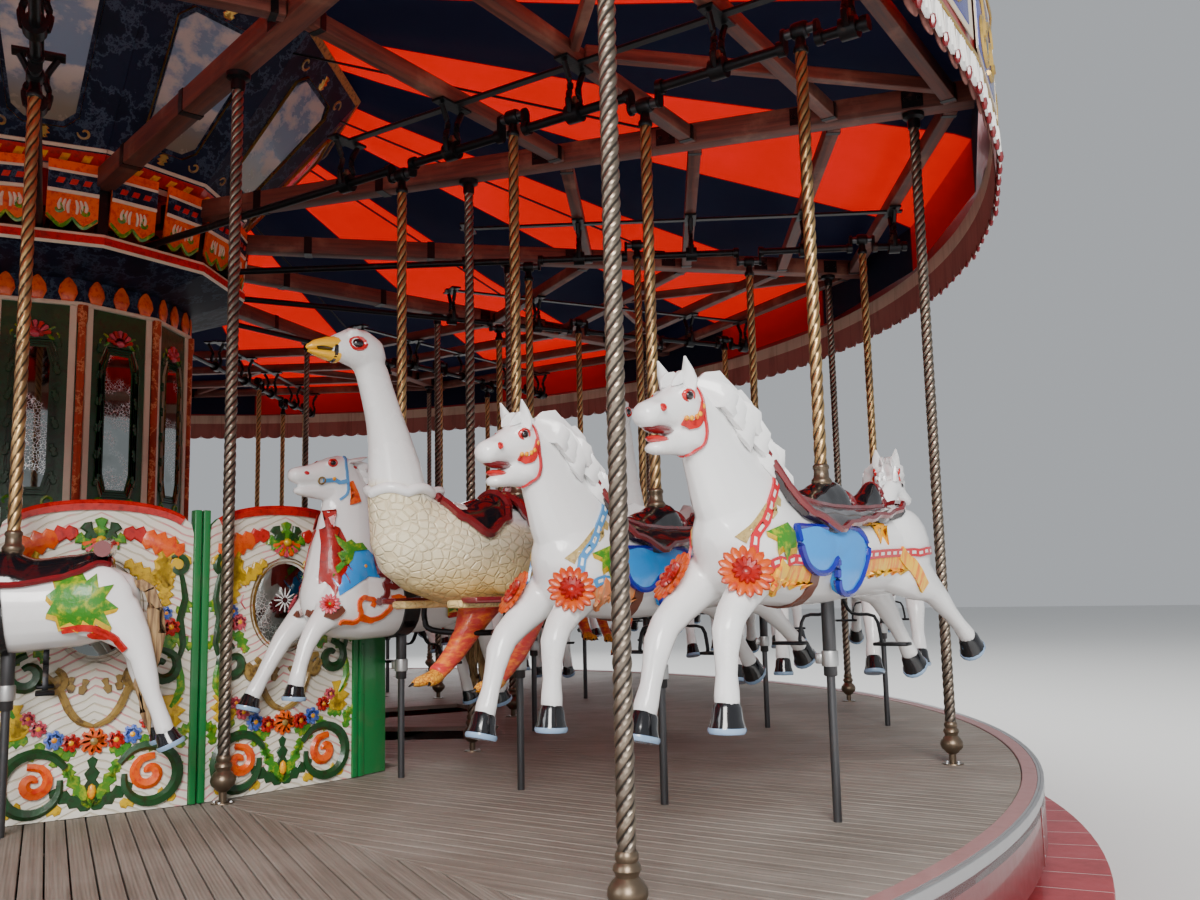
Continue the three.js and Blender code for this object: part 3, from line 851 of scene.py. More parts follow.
def overhead():
    whole = Shape()
    stay = Shape().add(along([(4.02, 0, 3.75), (0.17, 0, 5.2)], 0.007, 6), blackIron)
    stay.add(block(3.98, 4.06, -0.02, 0.02, 3.745, 3.765, 0.002, 1), blackIron)
    stay.add(block(1.145, 1.195, -0.03, 0.03, 3.376, 3.64, 0.004, 1), blackIron)
    for unit in (swiftUnit(), stay.mesh("stay")):
        for a in swiftAngles:
            whole.take(unit, turnZ(a))
    for q in beams["quarterings"]:
        bar = quarteringUnit(q)
        for a in rowAngles:
            whole.take(bar, turnZ(a) @ shift(q, 0, 0) @ quarter("Z"))
    return whole.mesh("overheadFrame", local=False)


def braces():
    # slanting struts between neighbouring quarterings in every other bay, as seen under the cloth
    whole = Shape()
    inner, outer = beams["quarterings"][1], beams["quarterings"][3]
    for side in (1, -1):
        a = Vector((inner + 0.03, side * 0.04, 3.69))
        b = Vector((outer - 0.03, side * (outer * math.tan(pitch / 2) - 0.16), 3.69))
        bar = block(0, (b - a).length, -0.022, 0.022, -0.03, 0.03, 0.004, 1)
        strut = Shape().add(bar, beamWood).mesh("strut")
        for angle in rowAngles[::2]:
            whole.take(strut, turnZ(angle) @ shift(*a) @ turnZ(math.atan2(b.y - a.y, b.x - a.x)))
    return whole.mesh("braces", local=False)


hubProfile = [
    (0.113, 3.606), (0.35, 3.606), (0.36, 3.616), (0.36, 3.755), (0.35, 3.766), (0.2, 3.778), (0.165, 3.79),
    (0.155, 3.83), (0.155, 5.436), (0.17, 5.444), (0.172, 5.456), (0.12, 5.466), (0.06, 5.474), (0.046, 5.5),
    (0.07, 5.525), (0.102, 5.55), (0.12, 5.6), (0.102, 5.65), (0.07, 5.675), (0.04, 5.69), (0.036, 5.71),
    (0.05, 5.722), (0.036, 5.734), (0.014, 5.76), (0.009, 5.8195), (0, 5.8195),
]
hub = Shape().add(lathe(hubProfile, 48), bronze).mesh("hub")
for mesh, name in ((overhead(), "overheadFrame"), (braces(), "overheadBraces"), (hub, "hubAndFinial")):
    putOut(mesh, name, "turntable", ["swift_frame"])
print("frame up")


crank = {
    "gear": ((0.56, 0.13), (0.612, 0.152)), "railUnder": 3.6215, "railTop": 3.6345,
    "axis": 3.41, "shaft": 0.02, "collar": 0.03, "bearing": 0.042, "start": 0.6, "end": 5.35, "gap": 0.076,
    "radii": (3.08, 3.745, 4.42, 5.10), "bearings": (2.71, 3.392, 4.075, 4.758, 5.29, 0.75),
    "leg": [(0.036, -0.01), (0.046, 0.05), (0.03, 0.12), (0.07, 0.205)],
    "oiler": [(0, 0.075), (0.01, 0.075), (0.012, 0.06), (0.02, 0.058), (0.02, 0.04), (0, 0.04)],
}


def crankRow():
    # the lengths of shaft between the throws, hung in bearings, with the bevel gear at the inner end
    shape = Shape()
    z = crank["axis"]
    starts = [crank["start"]] + [r + crank["gap"] for r in crank["radii"]]
    ends = [r - crank["gap"] for r in crank["radii"]] + [crank["end"]]

    def level(x0, x1, radius, sides):
        shape.add(along([(x0, 0, z), (x1, 0, z)], radius, sides), blackIron)

    for a, b in zip(starts, ends):
        level(a, b, crank["shaft"], 12)
        for x in (a, b):
            level(x - 0.014, x + 0.014, crank["collar"], 12)
    for x in crank["bearings"]:
        level(x - 0.032, x + 0.032, crank["bearing"], 14)
        for side in (-1, 1):
            leg = bent([(x, side * y, z + h) for y, h in crank["leg"]], 4)
            shape.add(along(leg, 0.014, 6), blackIron)
        shape.add(block(x - 0.035, x + 0.035, -0.1, 0.1, 3.6217, crank["railTop"], 0.002, 1), blackIron)
        shape.add(lathe(crank["oiler"], 8), bronze, shift(x, 0, z))
    rims = [((x, 0, z), (1, 0, 0), (0, 1, 0), r, r) for x, r in crank["gear"]]
    shape.add(loft(rims, 88, pinch=(1, 1, 0.86, 0.86)), blackIron)
    shape.add(block(2.66, crank["end"], -0.02, 0.02, crank["railUnder"], crank["railTop"], 0.002, 1), blackIron)
    return shape.mesh("crankRow")


def everyRow(unit, name):
    whole = Shape()
    for a in rowAngles:
        whole.take(unit, turnZ(a))
    return whole.mesh(name, local=False)


putOut(everyRow(crankRow(), "crankShafts"), "crankShafts", "turntable", ["crank_gear"])


post = {
    "beamEnd": 5.178, "drumSide": 1.46, "crown": ((3.195, 0.6), (3.252, 0.622)),
    "pole": [
        (0, 0), (0.105, 0), (0.105, 3.19), (0.3, 3.2), (0.58, 3.2), (0.58, 3.25), (0.2, 3.252), (0.105, 3.26),
        (0.105, 3.55), (0.2, 3.556), (0.21, 3.604), (0.105, 3.6047), (0.105, 5.395), (0.1, 5.4), (0, 5.4),
    ],
    "drum": [
        (0.085, 0), (1.46, 0), (1.47, 0.01), (1.47, 0.5), (1.478, 0.505), (1.478, 0.52), (1.44, 0.52),
        (1.435, 0.05), (1.42, 0.03), (0.22, 0.03), (0.165, 0.46), (0.085, 0.46), (0.085, 0),
    ],
}


def centrePost():
    # pole with the fixed crown gear, the drum it stands in, and the ground beams
    shape = Shape().add(lathe(post["pole"], 40), basePaint)
    rims = [((0, 0, z), (0, 0, 1), (1, 0, 0), r, r) for z, r in post["crown"]]
    shape.add(loft(rims, 288, pinch=(1, 1, 0.965, 0.965)), blackIron)
    shape.add(lathe(post["drum"], 72), basePaint)
    whole = Shape().take(shape.mesh("post"))
    side = post["drumSide"]
    beam = Shape().add(block(side - 0.02, side + 0.014, -0.03, 0.03, 0.02, 0.5, 0.003, 1), basePaint)
    beam.add(block(side, post["beamEnd"], -0.055, 0.055, 0, 0.11, 0.006), basePaint)
    beam.add(block(side + 0.01, side + 0.16, -0.05, 0.05, 0.11, 0.2, 0.01), basePaint)
    unit = beam.mesh("groundBeam")
    for a in swiftAngles:
        whole.take(unit, turnZ(a))
    return whole.mesh("centrePost")


putOut(centrePost(), "centrePost", "base", ["centre_base"])
print("cranks and post in")


tilt = {
    "line": [(0.1568, 5.395), (2.1, 4.738), (3.9, 4.205), (5.53, 3.8), (5.62, 3.76), (5.62, 3.462)],
    "cuts": (8, 8, 7, 2, 3), "sag": 0.04, "cloth": 0.003, "lift": 0.004, "gore": 15,
}


def canopySheet():
    # the cloth roof: a cone flat between its seams, each gore sagging a little, turned down at the rim
    line, half = tilt["line"], tilt["gore"] / 2
    profile = []
    for (r0, z0), (r1, z1), count in zip(line, line[1:], tilt["cuts"]):
        profile += [(r0 + (r1 - r0) * k / count, z0 + (z1 - z0) * k / count) for k in range(count)]
    part = lathe(raised([*profile, line[-1]], tilt["lift"]), 192)
    first, last = line[0][0], line[3][0]
    for v in part.verts:
        r = math.hypot(v.co.x, v.co.y)
        off = abs(math.degrees(math.atan2(v.co.y, v.co.x)) % tilt["gore"] - half)  # 0 on a seam
        flat = math.cos(math.radians(half)) / math.cos(math.radians(half - off))
        v.co.x *= flat
        v.co.y *= flat
        t = (r - first) / (last - first)
        if 0 < t < 1:
            v.co.z -= tilt["sag"] * math.sin(math.pi * t) ** 0.8 * math.sin(math.pi * off / tilt["gore"]) ** 2
    bmesh.ops.recalc_face_normals(part, faces=part.faces)
    bmesh.ops.solidify(part, geom=part.faces[:], thickness=tilt["cloth"])
    return Shape().add(part, canvas()).mesh("canopy", sharp=60)


tiltSheet = putOut(canopySheet(), "canopySheet", "turntable", ["canopy"])
print("canopy on")


valance = {
    "scallops": 240, "per": 6, "depth": 0.035, "bottom": 3.194, "band": 3.37, "back": 5.6305, "board": 5.6335,
    "front": 5.642, "top": 3.895,
}


def roundingBoards():
    # scalloped valance, the cream band above it, and the boards that carry both
    low, band, back, board = valance["bottom"], valance["band"], valance["back"], valance["board"]
    hanging = [(back, low), (back, band), (board, band), (board, low)]
    part = lathe(hanging, valance["scallops"] * valance["per"])
    for v in part.verts:
        if v.co.z < low + 1e-4:
            a = (math.atan2(v.co.y, v.co.x) / math.tau * valance["scallops"]) % 1
            v.co.z += valance["depth"] * (1 - math.sqrt(max(0, 1 - (2 * a - 1) ** 2)))
    shape = Shape().add(part, pinkCloth)
    tuck = back - 0.002
    strip = [(tuck, band), (tuck, 3.455), (board, 3.458), (board, band - 0.01), (tuck, band)]
    shape.add(lathe(strip, 288), creamCloth)
    front, top = valance["front"], valance["top"]
    face = [(board, band), (board, top), (board + 0.0035, top + 0.005), (front, top), (front, 3.24), (board, 3.24)]
    shape.add(lathe(face, 288), boardRed)
    return shape.mesh("roundingBoards", local=False)


bay = {"radius": 5.643, "half": 5.643 * math.radians(3.75), "middle": 3.62}


def outsideTrim():
    # one 7.5 degree bay of the painted outside: carved shells below, a raised panel with a mirror above
    shape = Shape()
    radius, half, middle = bay["radius"], bay["half"], bay["middle"]
    out = standing(radius)
    frameLine = [(u * half, y) for u, y in (
        (-0.9, 3.4), (0.9, 3.4), (0.9, 3.78), (0.5, 3.84), (-0.5, 3.84), (-0.9, 3.78),
    )]
    shape.add(plate(frameLine, 0.004, inset=0.018, rise=-0.002), cream, out)
    shape.add(plate([(x * 0.84, middle + (y - middle) * 0.84) for x, y in frameLine], 0.005, 0.002), deepBlue, out)
    curls = (
        ([(0.03, 3.46), (0.14, 3.47), (0.2, 3.55), (0.13, 3.62), (0.07, 3.57), (0.11, 3.53)], 5, 0.011),
        ([(0.02, 3.62), (0.09, 3.7), (0.2, 3.72), (0.25, 3.66)], 4, 0.01),
    )
    for side in (-1, 1):
        for points, steps, size in curls:
            line = bent([(side * x, y, 0) for x, y in points], steps)
            shape.add(along([(x, y, 0.007) for x, y, _ in line], size, 6), gilt, out)
    shape.add(lathe([(0, 0.012), (0.03, 0.01), (0.045, 0.005), (0.05, 0)], 16), mirror, out @ shift(0, 3.56, 0.004))
    ring = [(0.048, 0), (0.052, 0.01), (0.062, 0.01), (0.066, 0)]
    shape.add(lathe(ring, 20), gilt, out @ shift(0, 3.56, 0.003))
    shell = [(-0.19, 3.33), (-0.17, 3.25), (-0.09, 3.215), (0, 3.205), (0.09, 3.215), (0.17, 3.25), (0.19, 3.33)]
    drop = [(0, -0.055), (0.008, -0.05), (0.014, -0.03), (0.011, -0.005), (0.004, 0.0), (0, 0.002)]
    for k in range(5):
        x = (k - 2) * half * 0.4
        shape.add(plate([(x + u * half, y) for u, y in shell], 0.006, 0.002), dashWhite, out)
        for u in (-0.1, 0, 0.1):
            rib = [(x + u * 0.2, 3.325, 0.006), (x + u * half * 1.2, 3.235, 0.0065)]
            shape.add(along(rib, 0.006, 5), dashWhite, out)
        shape.add(lathe(drop, 8), maroon, shift(radius + 0.004, x + half * 0.2, 3.252))
    for z0, z1, deep, bevel in ((3.335, 3.352, 0.009, 0.002), (3.86, 3.893, 0.009, 0.003)):
        shape.add(block(radius, radius + deep, -half, half, z0, z1, bevel, 1), gilt)
    return shape.mesh("outsideTrim")


creamCloth = valanceCloth("creamValance", (0.56, 0.43, 0.32), (0.33, 0.22, 0.16))
pinkCloth = valanceCloth("pinkValance", (0.33, 0.13, 0.105), (0.17, 0.07, 0.06))
boardRed = enamel("boardRed", (0.3, 0.016, 0.02), 0.3, 0.3, 0.15)
boardTrim = stamp(outsideTrim(), [turnZ(math.radians(7.5 * k)) for k in range(48)], "boardTrim")
for mesh, name in ((roundingBoards(), "roundingBoards"), (boardTrim, "boardTrim")):
    putOut(mesh, name, "turntable", ["rounding_boards"])
print("boards on")


def ellipse(rx, ry, middle):
    turns = [math.tau * k / 28 for k in range(28)]
    return [(rx * math.cos(a), middle + ry * math.sin(a)) for a in turns]


def ringPlate(outline, width, thick):
    # a flat ring along an outline, with a rounded face
    part = bmesh.new()
    face = part.faces.new([part.verts.new((x, y, 0)) for x, y in outline])
    made = bmesh.ops.inset_region(part, faces=[face], thickness=width, use_even_offset=True, use_boundary=True)
    rim = made["faces"]
    bmesh.ops.delete(part, geom=[f for f in part.faces if f not in rim], context="FACES_ONLY")
    out = bmesh.ops.extrude_face_region(part, geom=part.faces[:])["geom"]
    bmesh.ops.translate(part, vec=(0, 0, thick), verts=newVerts(out))
    top = [g for g in out if isinstance(g, bmesh.types.BMFace)]
    bmesh.ops.inset_region(part, faces=top, thickness=width * 0.28, depth=thick * 0.35, use_even_offset=True)
    return part


def scroll(shape, points, width, finish, lift, matrix, sides=5, taper=0.25):
    # a carved scroll: a half-sunk bar that thins towards both ends
    line = bent([(x, y, lift) for x, y in points], 2)
    sizes = []
    for i in range(len(line)):
        swell = taper + (1 - taper) * math.sin(math.pi * (0.12 + 0.8 * i / (len(line) - 1))) ** 0.8
        sizes.append((width * 0.32 * swell, width * 0.5 * swell))
    shape.add(along(line, sizes, sides), finish, matrix)


def curl(cx, cy, r, start, turns, steps=9, shrink=0.3):
    line = []
    for k in range(steps + 1):
        reach = r * (1 - (1 - shrink) * k / steps)
        a = start + turns * math.tau * k / steps
        line.append((cx + reach * math.cos(a), cy + reach * math.sin(a)))
    return line


def leaf(shape, x, y, length, width, turn, finish, matrix, lobes=3, thick=0.007):
    # a carved acanthus leaf: lobed outline with a raised middle, growing from (x, y) along `turn`
    right = []
    for k in range(lobes):
        wide = width * 0.5 * math.sin(math.pi * (0.22 + 0.62 * (k + 0.6) / lobes))
        right += [(length * (k / lobes + 0.03), wide * 0.55), (length * ((k + 1) / lobes - 0.08), wide)]
    outline = [(0, 0.006), *right, (length, 0), *[(u, -v) for u, v in reversed(right)], (0, -0.006)]
    part = plate(outline, thick, inset=width * 0.07, rise=0.004)
    shape.add(part, finish, matrix @ shift(x, y, 0) @ turnZ(turn))


def leaves(shape, side, rows, matrix, lobes=3, thick=0.007):
    # leaves of (x, y, length, width, turn, finish) for the right side, mirrored for the left one
    for x, y, length, width, turn, finish in rows:
        heading = turn if side > 0 else math.pi - turn
        leaf(shape, side * x, y, length, width, heading, finish, matrix, lobes, thick)


def flower(shape, x, y, radius, finish, heart, matrix, petals=7):
    outline = []
    for k in range(petals):
        for f, r in ((0.0, 0.7), (0.3, 1.0), (0.7, 1.0)):
            a = math.tau * (k + f) / petals
            outline.append((radius * r * math.cos(a), radius * r * math.sin(a)))
    shape.add(plate(outline, 0.01, inset=radius * 0.3, rise=0.005), finish, matrix @ shift(x, y, 0.004))
    shape.add(ball(radius * 0.3, (1, 1, 0.5), (x, y, 0.018), 8, 5), heart, matrix)


drum = {
    "radius": 0.9, "low": 0.64, "high": 3.2, "half": 0.2329, "cornice": 1.222,
    "windows": ((1.0, 1.75), (1.98, 2.84)),
    "column": [
        (0, 0.66), (0.032, 0.66), (0.032, 0.74), (0.024, 0.76), (0.024, 2.94), (0.034, 2.97), (0.034, 3.05),
        (0, 3.05),
    ],
    "crest": [
        (-0.03, 0), (-0.05, 0.05), (-0.042, 0.09), (-0.018, 0.125), (0, 0.14), (0.018, 0.125), (0.042, 0.09),
        (0.05, 0.05), (0.03, 0),
    ],
}
faceCos, faceTan = math.cos(pitch / 2), math.tan(pitch / 2)  # middle and half width of a face of the twelve


def drumWindow(face, tall, at):
    # a mirror, `tall` from its middle to its ends, in a carved frame with leaves beside it and a shell on top
    corners = [(0.085, -tall), (0.12, 0.1 - tall), (0.12, tall - 0.1), (0.085, tall)]
    ground = [(-0.085, -tall), *corners, *[(-x, y) for x, y in reversed(corners[1:])]]

    def within(across, up):
        return [(x * across, y * up) for x, y in ground]

    face.add(plate(within(0.66, 0.9), 0.004), mirror, at)
    face.add(ringPlate(within(0.78, 0.935), 0.012, 0.014), goldBrown, at)
    face.add(ringPlate(ground, 0.02, 0.016), cream, at)
    face.add(ringPlate(within(0.9, 0.965), 0.012, 0.01), redCarved, at)
    for side in (-1, 1):
        for k in range(6):
            y = 0.06 - tall + k * (2 * tall - 0.1) / 5
            leaf(face, side * 0.126, y, 0.075, 0.045, math.pi / 2 + side * 0.35, darkGreen, at)
        for end in (1, -1):
            line = curl(side * 0.1, end * (tall + 0.035), 0.04, end * math.pi / 2, end * side * 0.9)
            scroll(face, line, 0.02, leafGreen, 0.002, at)
    for k in range(7):
        a = math.pi * (0.08 + 0.84 * k / 6)
        leaf(face, 0, tall + 0.025, 0.085, 0.036, a, pink if k % 2 else redCarved, at @ shift(0, 0, 0.004), 2)
    face.add(ball(1, (0.028, 0.022, 0.016), (0, tall + 0.03, 0.008), 10, 6), pink, at)


def drumFace():
    # one of the twelve faces: mirrors in carved frames between marbled half columns
    face = Shape()
    flat, half = drum["radius"] * faceCos - 0.012, drum["half"]
    face.add(block(flat - 0.012, flat + 0.006, -half, half, drum["low"], drum["high"], 0), darkGreen)
    for side in (-1, 1):
        face.add(block(flat, flat + 0.016, *sorted((side * 0.168, side * 0.205)), 0.66, 3.06, 0.003, 1), cream)
        place = shift(flat + 0.012, side * 0.229, 0) @ Matrix.Diagonal((0.8, 0.72, 1, 1))
        face.add(lathe(drum["column"], 12), marbleRed, place)
    face.add(block(flat, flat + 0.022, -0.235, 0.235, 3.045, 3.07, 0.004, 1), cream)
    face.add(block(flat - 0.006, flat + 0.008, -0.236, 0.236, 3.07, 3.2, 0), marbleNavy)
    for z0, z1 in drum["windows"]:
        drumWindow(face, (z1 - z0) / 2, standing(flat + 0.006, 0, (z0 + z1) / 2))
    for u in (-0.155, 0, 0.155):  # pointed cresting below the cornice
        face.add(plate(drum["crest"], 0.008, inset=0.012, rise=0.008), orange, standing(flat + 0.01, u, 3.068))
    return face.mesh("drumFace")


def corniceFace():
    # flaring underside and fascia of the cornice, one face of twelve
    face = Shape()
    inner, outer = drum["radius"] * faceCos - 0.004, drum["cornice"] * faceCos
    lip = outer + 0.008
    rise = [(3.2, inner, marbleNavy), (3.302, outer, cream), (3.318, lip, redCarved), (3.36, lip, cream)]
    ends = [(3.302, outer), (3.318, lip), (3.36, lip), (3.376, outer + 0.002)]
    for (z0, r0, finish), (z1, r1) in zip(rise, ends):
        part = bmesh.new()
        ring = ((r0, z0, -1), (r0, z0, 1), (r1, z1, 1), (r1, z1, -1))
        corners = [(r, side * r * faceTan, z) for r, z, side in ring]
        made = part.faces.new([part.verts.new(q) for q in corners])
        out = bmesh.ops.extrude_face_region(part, geom=[made])["geom"]
        bmesh.ops.translate(part, vec=(-0.02, 0, 0.004), verts=newVerts(out))
        face.add(part, finish)
    return face.mesh("corniceFace")


pelmet = {
    "radius": 1.196, "height": 3.49, "lean": 0.12, "half": 0.128,
}


def pelmetSector():
    # carved pelmet and dash band between a crank shaft and a swift; local X is outward at the middle of the sector
    face = Shape()
    half = pelmet["half"]
    drop = [(half, -0.05), (0.075, -0.09), (0.05, -0.1), (0.02, -0.075)]
    outline = [(-half, 0.03), *[(-x, y) for x, y in drop], (0, -0.045), *reversed(drop), (half, 0.03)]
    at = standing(pelmet["radius"], 0, pelmet["height"]) @ Matrix.Rotation(pelmet["lean"], 4, "X")
    face.add(plate([*outline, (half, 0.26), (-half, 0.26)], 0.014), orange, at)
    band = [(-half, 0.1), (half, 0.1), (half, 0.2), (-half, 0.2)]
    face.add(plate(band, 0.004), marbleNavy, at @ shift(0, 0, 0.014))
    for z0, z1 in ((0.085, 0.105), (0.195, 0.21)):
        face.add(block(-half, half, z0, z1, 0.012, 0.022, 0.002, 1), cream, at)
    for u in (-0.066, 0, 0.066):
        dash = [(u - 0.024, 0.135), (u + 0.012, 0.135), (u + 0.024, 0.165), (u - 0.012, 0.165)]
        face.add(plate(dash, 0.007), redCarved, at @ shift(0, 0, 0.017))
    hook = ((0.125, -0.035), (0.078, -0.08), (0.05, -0.09), (0.022, -0.068), (0, -0.04))
    for side in (-1, 1):
        scroll(face, [(side * x, y) for x, y in hook], 0.024, leafGreen, 0.014, at)
        scroll(face, curl(side * 0.07, 0.0, 0.03, math.pi * 0.5, side * 0.8), 0.02, leafGreen, 0.014, at)
        for k in range(3):
            x = 0.022 * k
            reed = [(side * (x + 0.02), -0.02 + 0.008 * k), (side * (x + 0.025), 0.02), (side * (x + 0.014), 0.055)]
            scroll(face, reed, 0.02, cream, 0.014, at)
    return face.mesh("pelmetSector")


def cloudPaint():
    # pale sky with loose clouds over warm ground, for the small pictures of the cone
    p = Paint("picturePaint", (0.4, 0.42, 0.44), 0.3, 0.0, 0.2)
    at = p.local()
    _, _, z = p.parts(at)
    cloud = p.step(p.noise(p.stretch(at, (5, 5, 9)), 1.0, 5, 0.6), 0.45, 0.62)
    low = 1.0 - p.step(z, 4.0, 4.2)
    sky = p.blend(cloud * 0.8, (0.16, 0.24, 0.34), (0.52, 0.47, 0.4))
    return p.feed(Base_Color=p.blend(low * 0.75, sky, (0.2, 0.15, 0.06)), Roughness=cloud * 0.2 + 0.25)


picture = cloudPaint()
cone = {
    "low": (1.13, 3.7453), "high": (1.95, 4.735),
    "board": [(0.1, 0.24), (0.17, 0.3), (0.27, 0.98), (0.2, 1.06)],
}


def coneFace():
    # one face of twelve: navy marbling round a gilt-framed picture
    face = Shape()
    (r0, z0), (r1, z1) = cone["low"], cone["high"]
    low, high = Vector((r0 * faceCos, 0, z0)), Vector((r1 * faceCos, 0, z1))
    up = (high - low).normalized()
    out = Vector((0, 1, 0)).cross(up)
    m = Matrix(((0, up.x, out.x, low.x), (1, up.y, out.y, low.y), (0, up.z, out.z, low.z), (0, 0, 0, 1)))
    span = (high - low).length

    def course(a, b):
        # the strip of the face between two heights along its slope
        wide = [(low.x + (high.x - low.x) * v / span) * faceTan for v in (a, b)]
        return [(-wide[0], a), (wide[0], a), (wide[1], b), (-wide[1], b)]

    face.add(plate(course(0, span), 0.006), marbleNavy, m)
    strips = ((0.0, 0.03, cream), (0.04, 0.12, redCarved), (0.13, 0.15, cream), (span - 0.05, span, goldBrown))
    for a, b, finish in strips:
        face.add(plate(course(a, b), 0.012), finish, m)
    for k in range(-2, 3):
        u = k * 0.11
        face.add(plate([(u - 0.03, 0.06), (u + 0.012, 0.06), (u + 0.03, 0.1), (u - 0.012, 0.1)], 0.016), yellow, m)
    board = [(-x, y) for x, y in reversed(cone["board"])] + cone["board"]
    face.add(plate([(x * 0.9, 0.66 + (y - 0.66) * 0.93) for x, y in board], 0.012), picture, m)
    face.add(ringPlate(board, 0.026, 0.024), gilt, m)
    for side in (-1, 1):
        scroll(face, curl(side * 0.3, 1.1, 0.05, 0, side * 0.9), 0.02, goldBrown, 0.008, m)
        scroll(face, curl(side * 0.2, 0.22, 0.035, math.pi, side * 0.9), 0.016, goldBrown, 0.008, m)
    leaf(face, 0, 1.07, 0.1, 0.09, math.pi / 2, gilt, m)
    leaf(face, 0, 0.235, 0.07, 0.07, -math.pi / 2, gilt, m)
    return face.mesh("coneFace")


twelfths = [turnZ(a) for a in rowAngles]
sectors = [turnZ((k + 0.5) * pitch / 2) for k in range(2 * sections)]
for unit, places, name in (
    (drumFace(), twelfths, "drumFaces"), (corniceFace(), twelfths, "cornice"), (pelmetSector(), sectors, "pelmet"),
):
    putOut(stamp(unit, places, name), name, "turntable", ["centre_casing"])
putOut(stamp(coneFace(), twelfths, "pictureCone"), "pictureCone", "turntable", ["picture_cone"])
print("centre stands")


screen = {
    "radius": 2.9, "pitch": 15.0, "start": -1.7, "count": 17, "foot": 0.603, "arch": 1.06, "mirror": 0.765,
    "post": (2.856, 2.906), "postTop": 1.758, "endBoard": (2.872, 2.894), "endTop": 1.668,
    "spray": [  # yellow leaves beside the glass: x, y, length, turn
        (0.2, 0.86, 0.2, 1.2), (0.25, 0.84, 0.17, 1.75), (0.21, 0.86, 0.15, 2.5), (0.2, 0.88, 0.16, 0.55),
        (0.235, 0.9, 0.13, -1.5),
    ],
    "sideFlowers": [(0.215, 0.7, 0.034, pink), (0.265, 0.69, 0.036, redCarved), (0.245, 0.745, 0.026, blueFlower)],
    "sideLeaves": [
        (0.24, 0.67, 0.11, -1.2), (0.22, 0.66, 0.1, -2.1), (0.27, 0.66, 0.1, -0.6), (0.29, 0.74, 0.07, 0.7),
    ],
    "garland": [(0.06, 0.25, -0.6), (0.11, 0.26, -1.2), (0.17, 0.28, -0.9), (0.22, 0.3, -0.2), (0.3, 0.27, 0.6)],
    "footLeaves": [
        (0.1, 0.03, 0.2, leafYellow), (0.3, 0.03, 2.6, leafYellow), (0.31, 0.12, 1.7, leafGreen),
        (0.31, 0.22, 1.3, leafGreen), (0.09, 0.2, -1.9, leafGreen),
    ],
}


def screenSide(panel, growth, side, at, front):
    # the carving on one side of a panel, from the top down: `at` lies on the ribs, `front` just before them
    def bar(points, width, finish, lift=0.006, sides=5):
        scroll(panel, [(side * x, y) for x, y in points], width, finish, lift, front, sides)

    def turned(cx, cy, r, start, turns, width, finish, steps=9, shrink=0.3, lift=0.008):
        scroll(panel, curl(side * cx, cy, r, start, side * turns, steps, shrink), width, finish, lift, front)

    half = math.pi / 2
    leaves(growth, side, [(0.15, 1.045, 0.17, 0.1, -0.35, orange)], front, 4, 0.012)
    leaves(growth, side, [(0.08, 1.06, 0.12, 0.07, -0.1, redCarved)], front, 3, 0.01)
    leaves(growth, side, [(x, y, length, 0.075, a, leafYellow) for x, y, length, a in screen["spray"]], front, 4)
    turned(0.285, 0.93, 0.045, half + side * 0.2 * math.pi, -0.85, 0.034, darkGreen, lift=0.006)
    bar([(0.3, 0.9), (0.318, 0.8), (0.3, 0.72), (0.315, 0.62), (0.29, 0.55)], 0.03, darkGreen)
    for x, y, r, finish in screen["sideFlowers"]:
        flower(growth, side * x, y, r, finish, yellow, front)
    leaves(growth, side, [(x, y, length, 0.06, a, leafGreen) for x, y, length, a in screen["sideLeaves"]], at)
    turned(0.235, 0.535, 0.07, half, -1.1, 0.044, darkGreen)
    bar([(0.3, 0.54), (0.31, 0.45), (0.27, 0.38)], 0.034, leafGreen, 0.008)
    turned(0.15, 0.5, 0.05, 0.4 * math.pi, 0.8, 0.04, goldBrown)  # gold rocaille under the mirror
    bar([(0.17, 0.53), (0.12, 0.47), (0.09, 0.4), (0.05, 0.35), (0, 0.33)], 0.032, goldBrown, 0.008)
    for k in range(4):
        rocaille = (0.05 + 0.035 * k, 0.45 + 0.008 * k, 0.06, 0.035, 1.9 - 0.3 * k, goldBrown)
        leaves(growth, side, [rocaille], front, 2)
        x, y = 0.18 + 0.012 * (k % 2), 0.9 - 0.09 * k
        bar([(x, y), (x + 0.01, y - 0.03), (0.18, y - 0.06)], 0.008, pink, 0.001, 4)
    tufts = [(0.26, 0.3, 0.13, 0.12, 1.4, leafYellow), (0.28, 0.31, 0.1, 0.08, 2.3, leafYellow)]
    leaves(growth, side, tufts, front)
    third = redCarved if side > 0 else pink
    for x, y, r, finish in (
        (0.078, 0.275, 0.034, redCarved), (0.135, 0.29, 0.036, blueFlower), (0.19, 0.335, 0.031, third),
        (0.225, 0.375, 0.026, pink),
    ):
        flower(growth, side * x, y, r, finish, yellow, front)
    leaves(growth, side, [(x, y, 0.075, 0.05, a, leafGreen) for x, y, a in screen["garland"]], at)
    turned(0.2, 0.13, 0.12, half + side * 0.35 * math.pi, -0.95, 0.046, darkGreen, 12, 0.75)
    turned(0.2, 0.14, 0.065, half - side * 0.1 * math.pi, 1.25, 0.044, orange, 10, 0.12)
    leaves(growth, side, [(x, y, 0.075, 0.05, a, finish) for x, y, a, finish in screen["footLeaves"]], at)


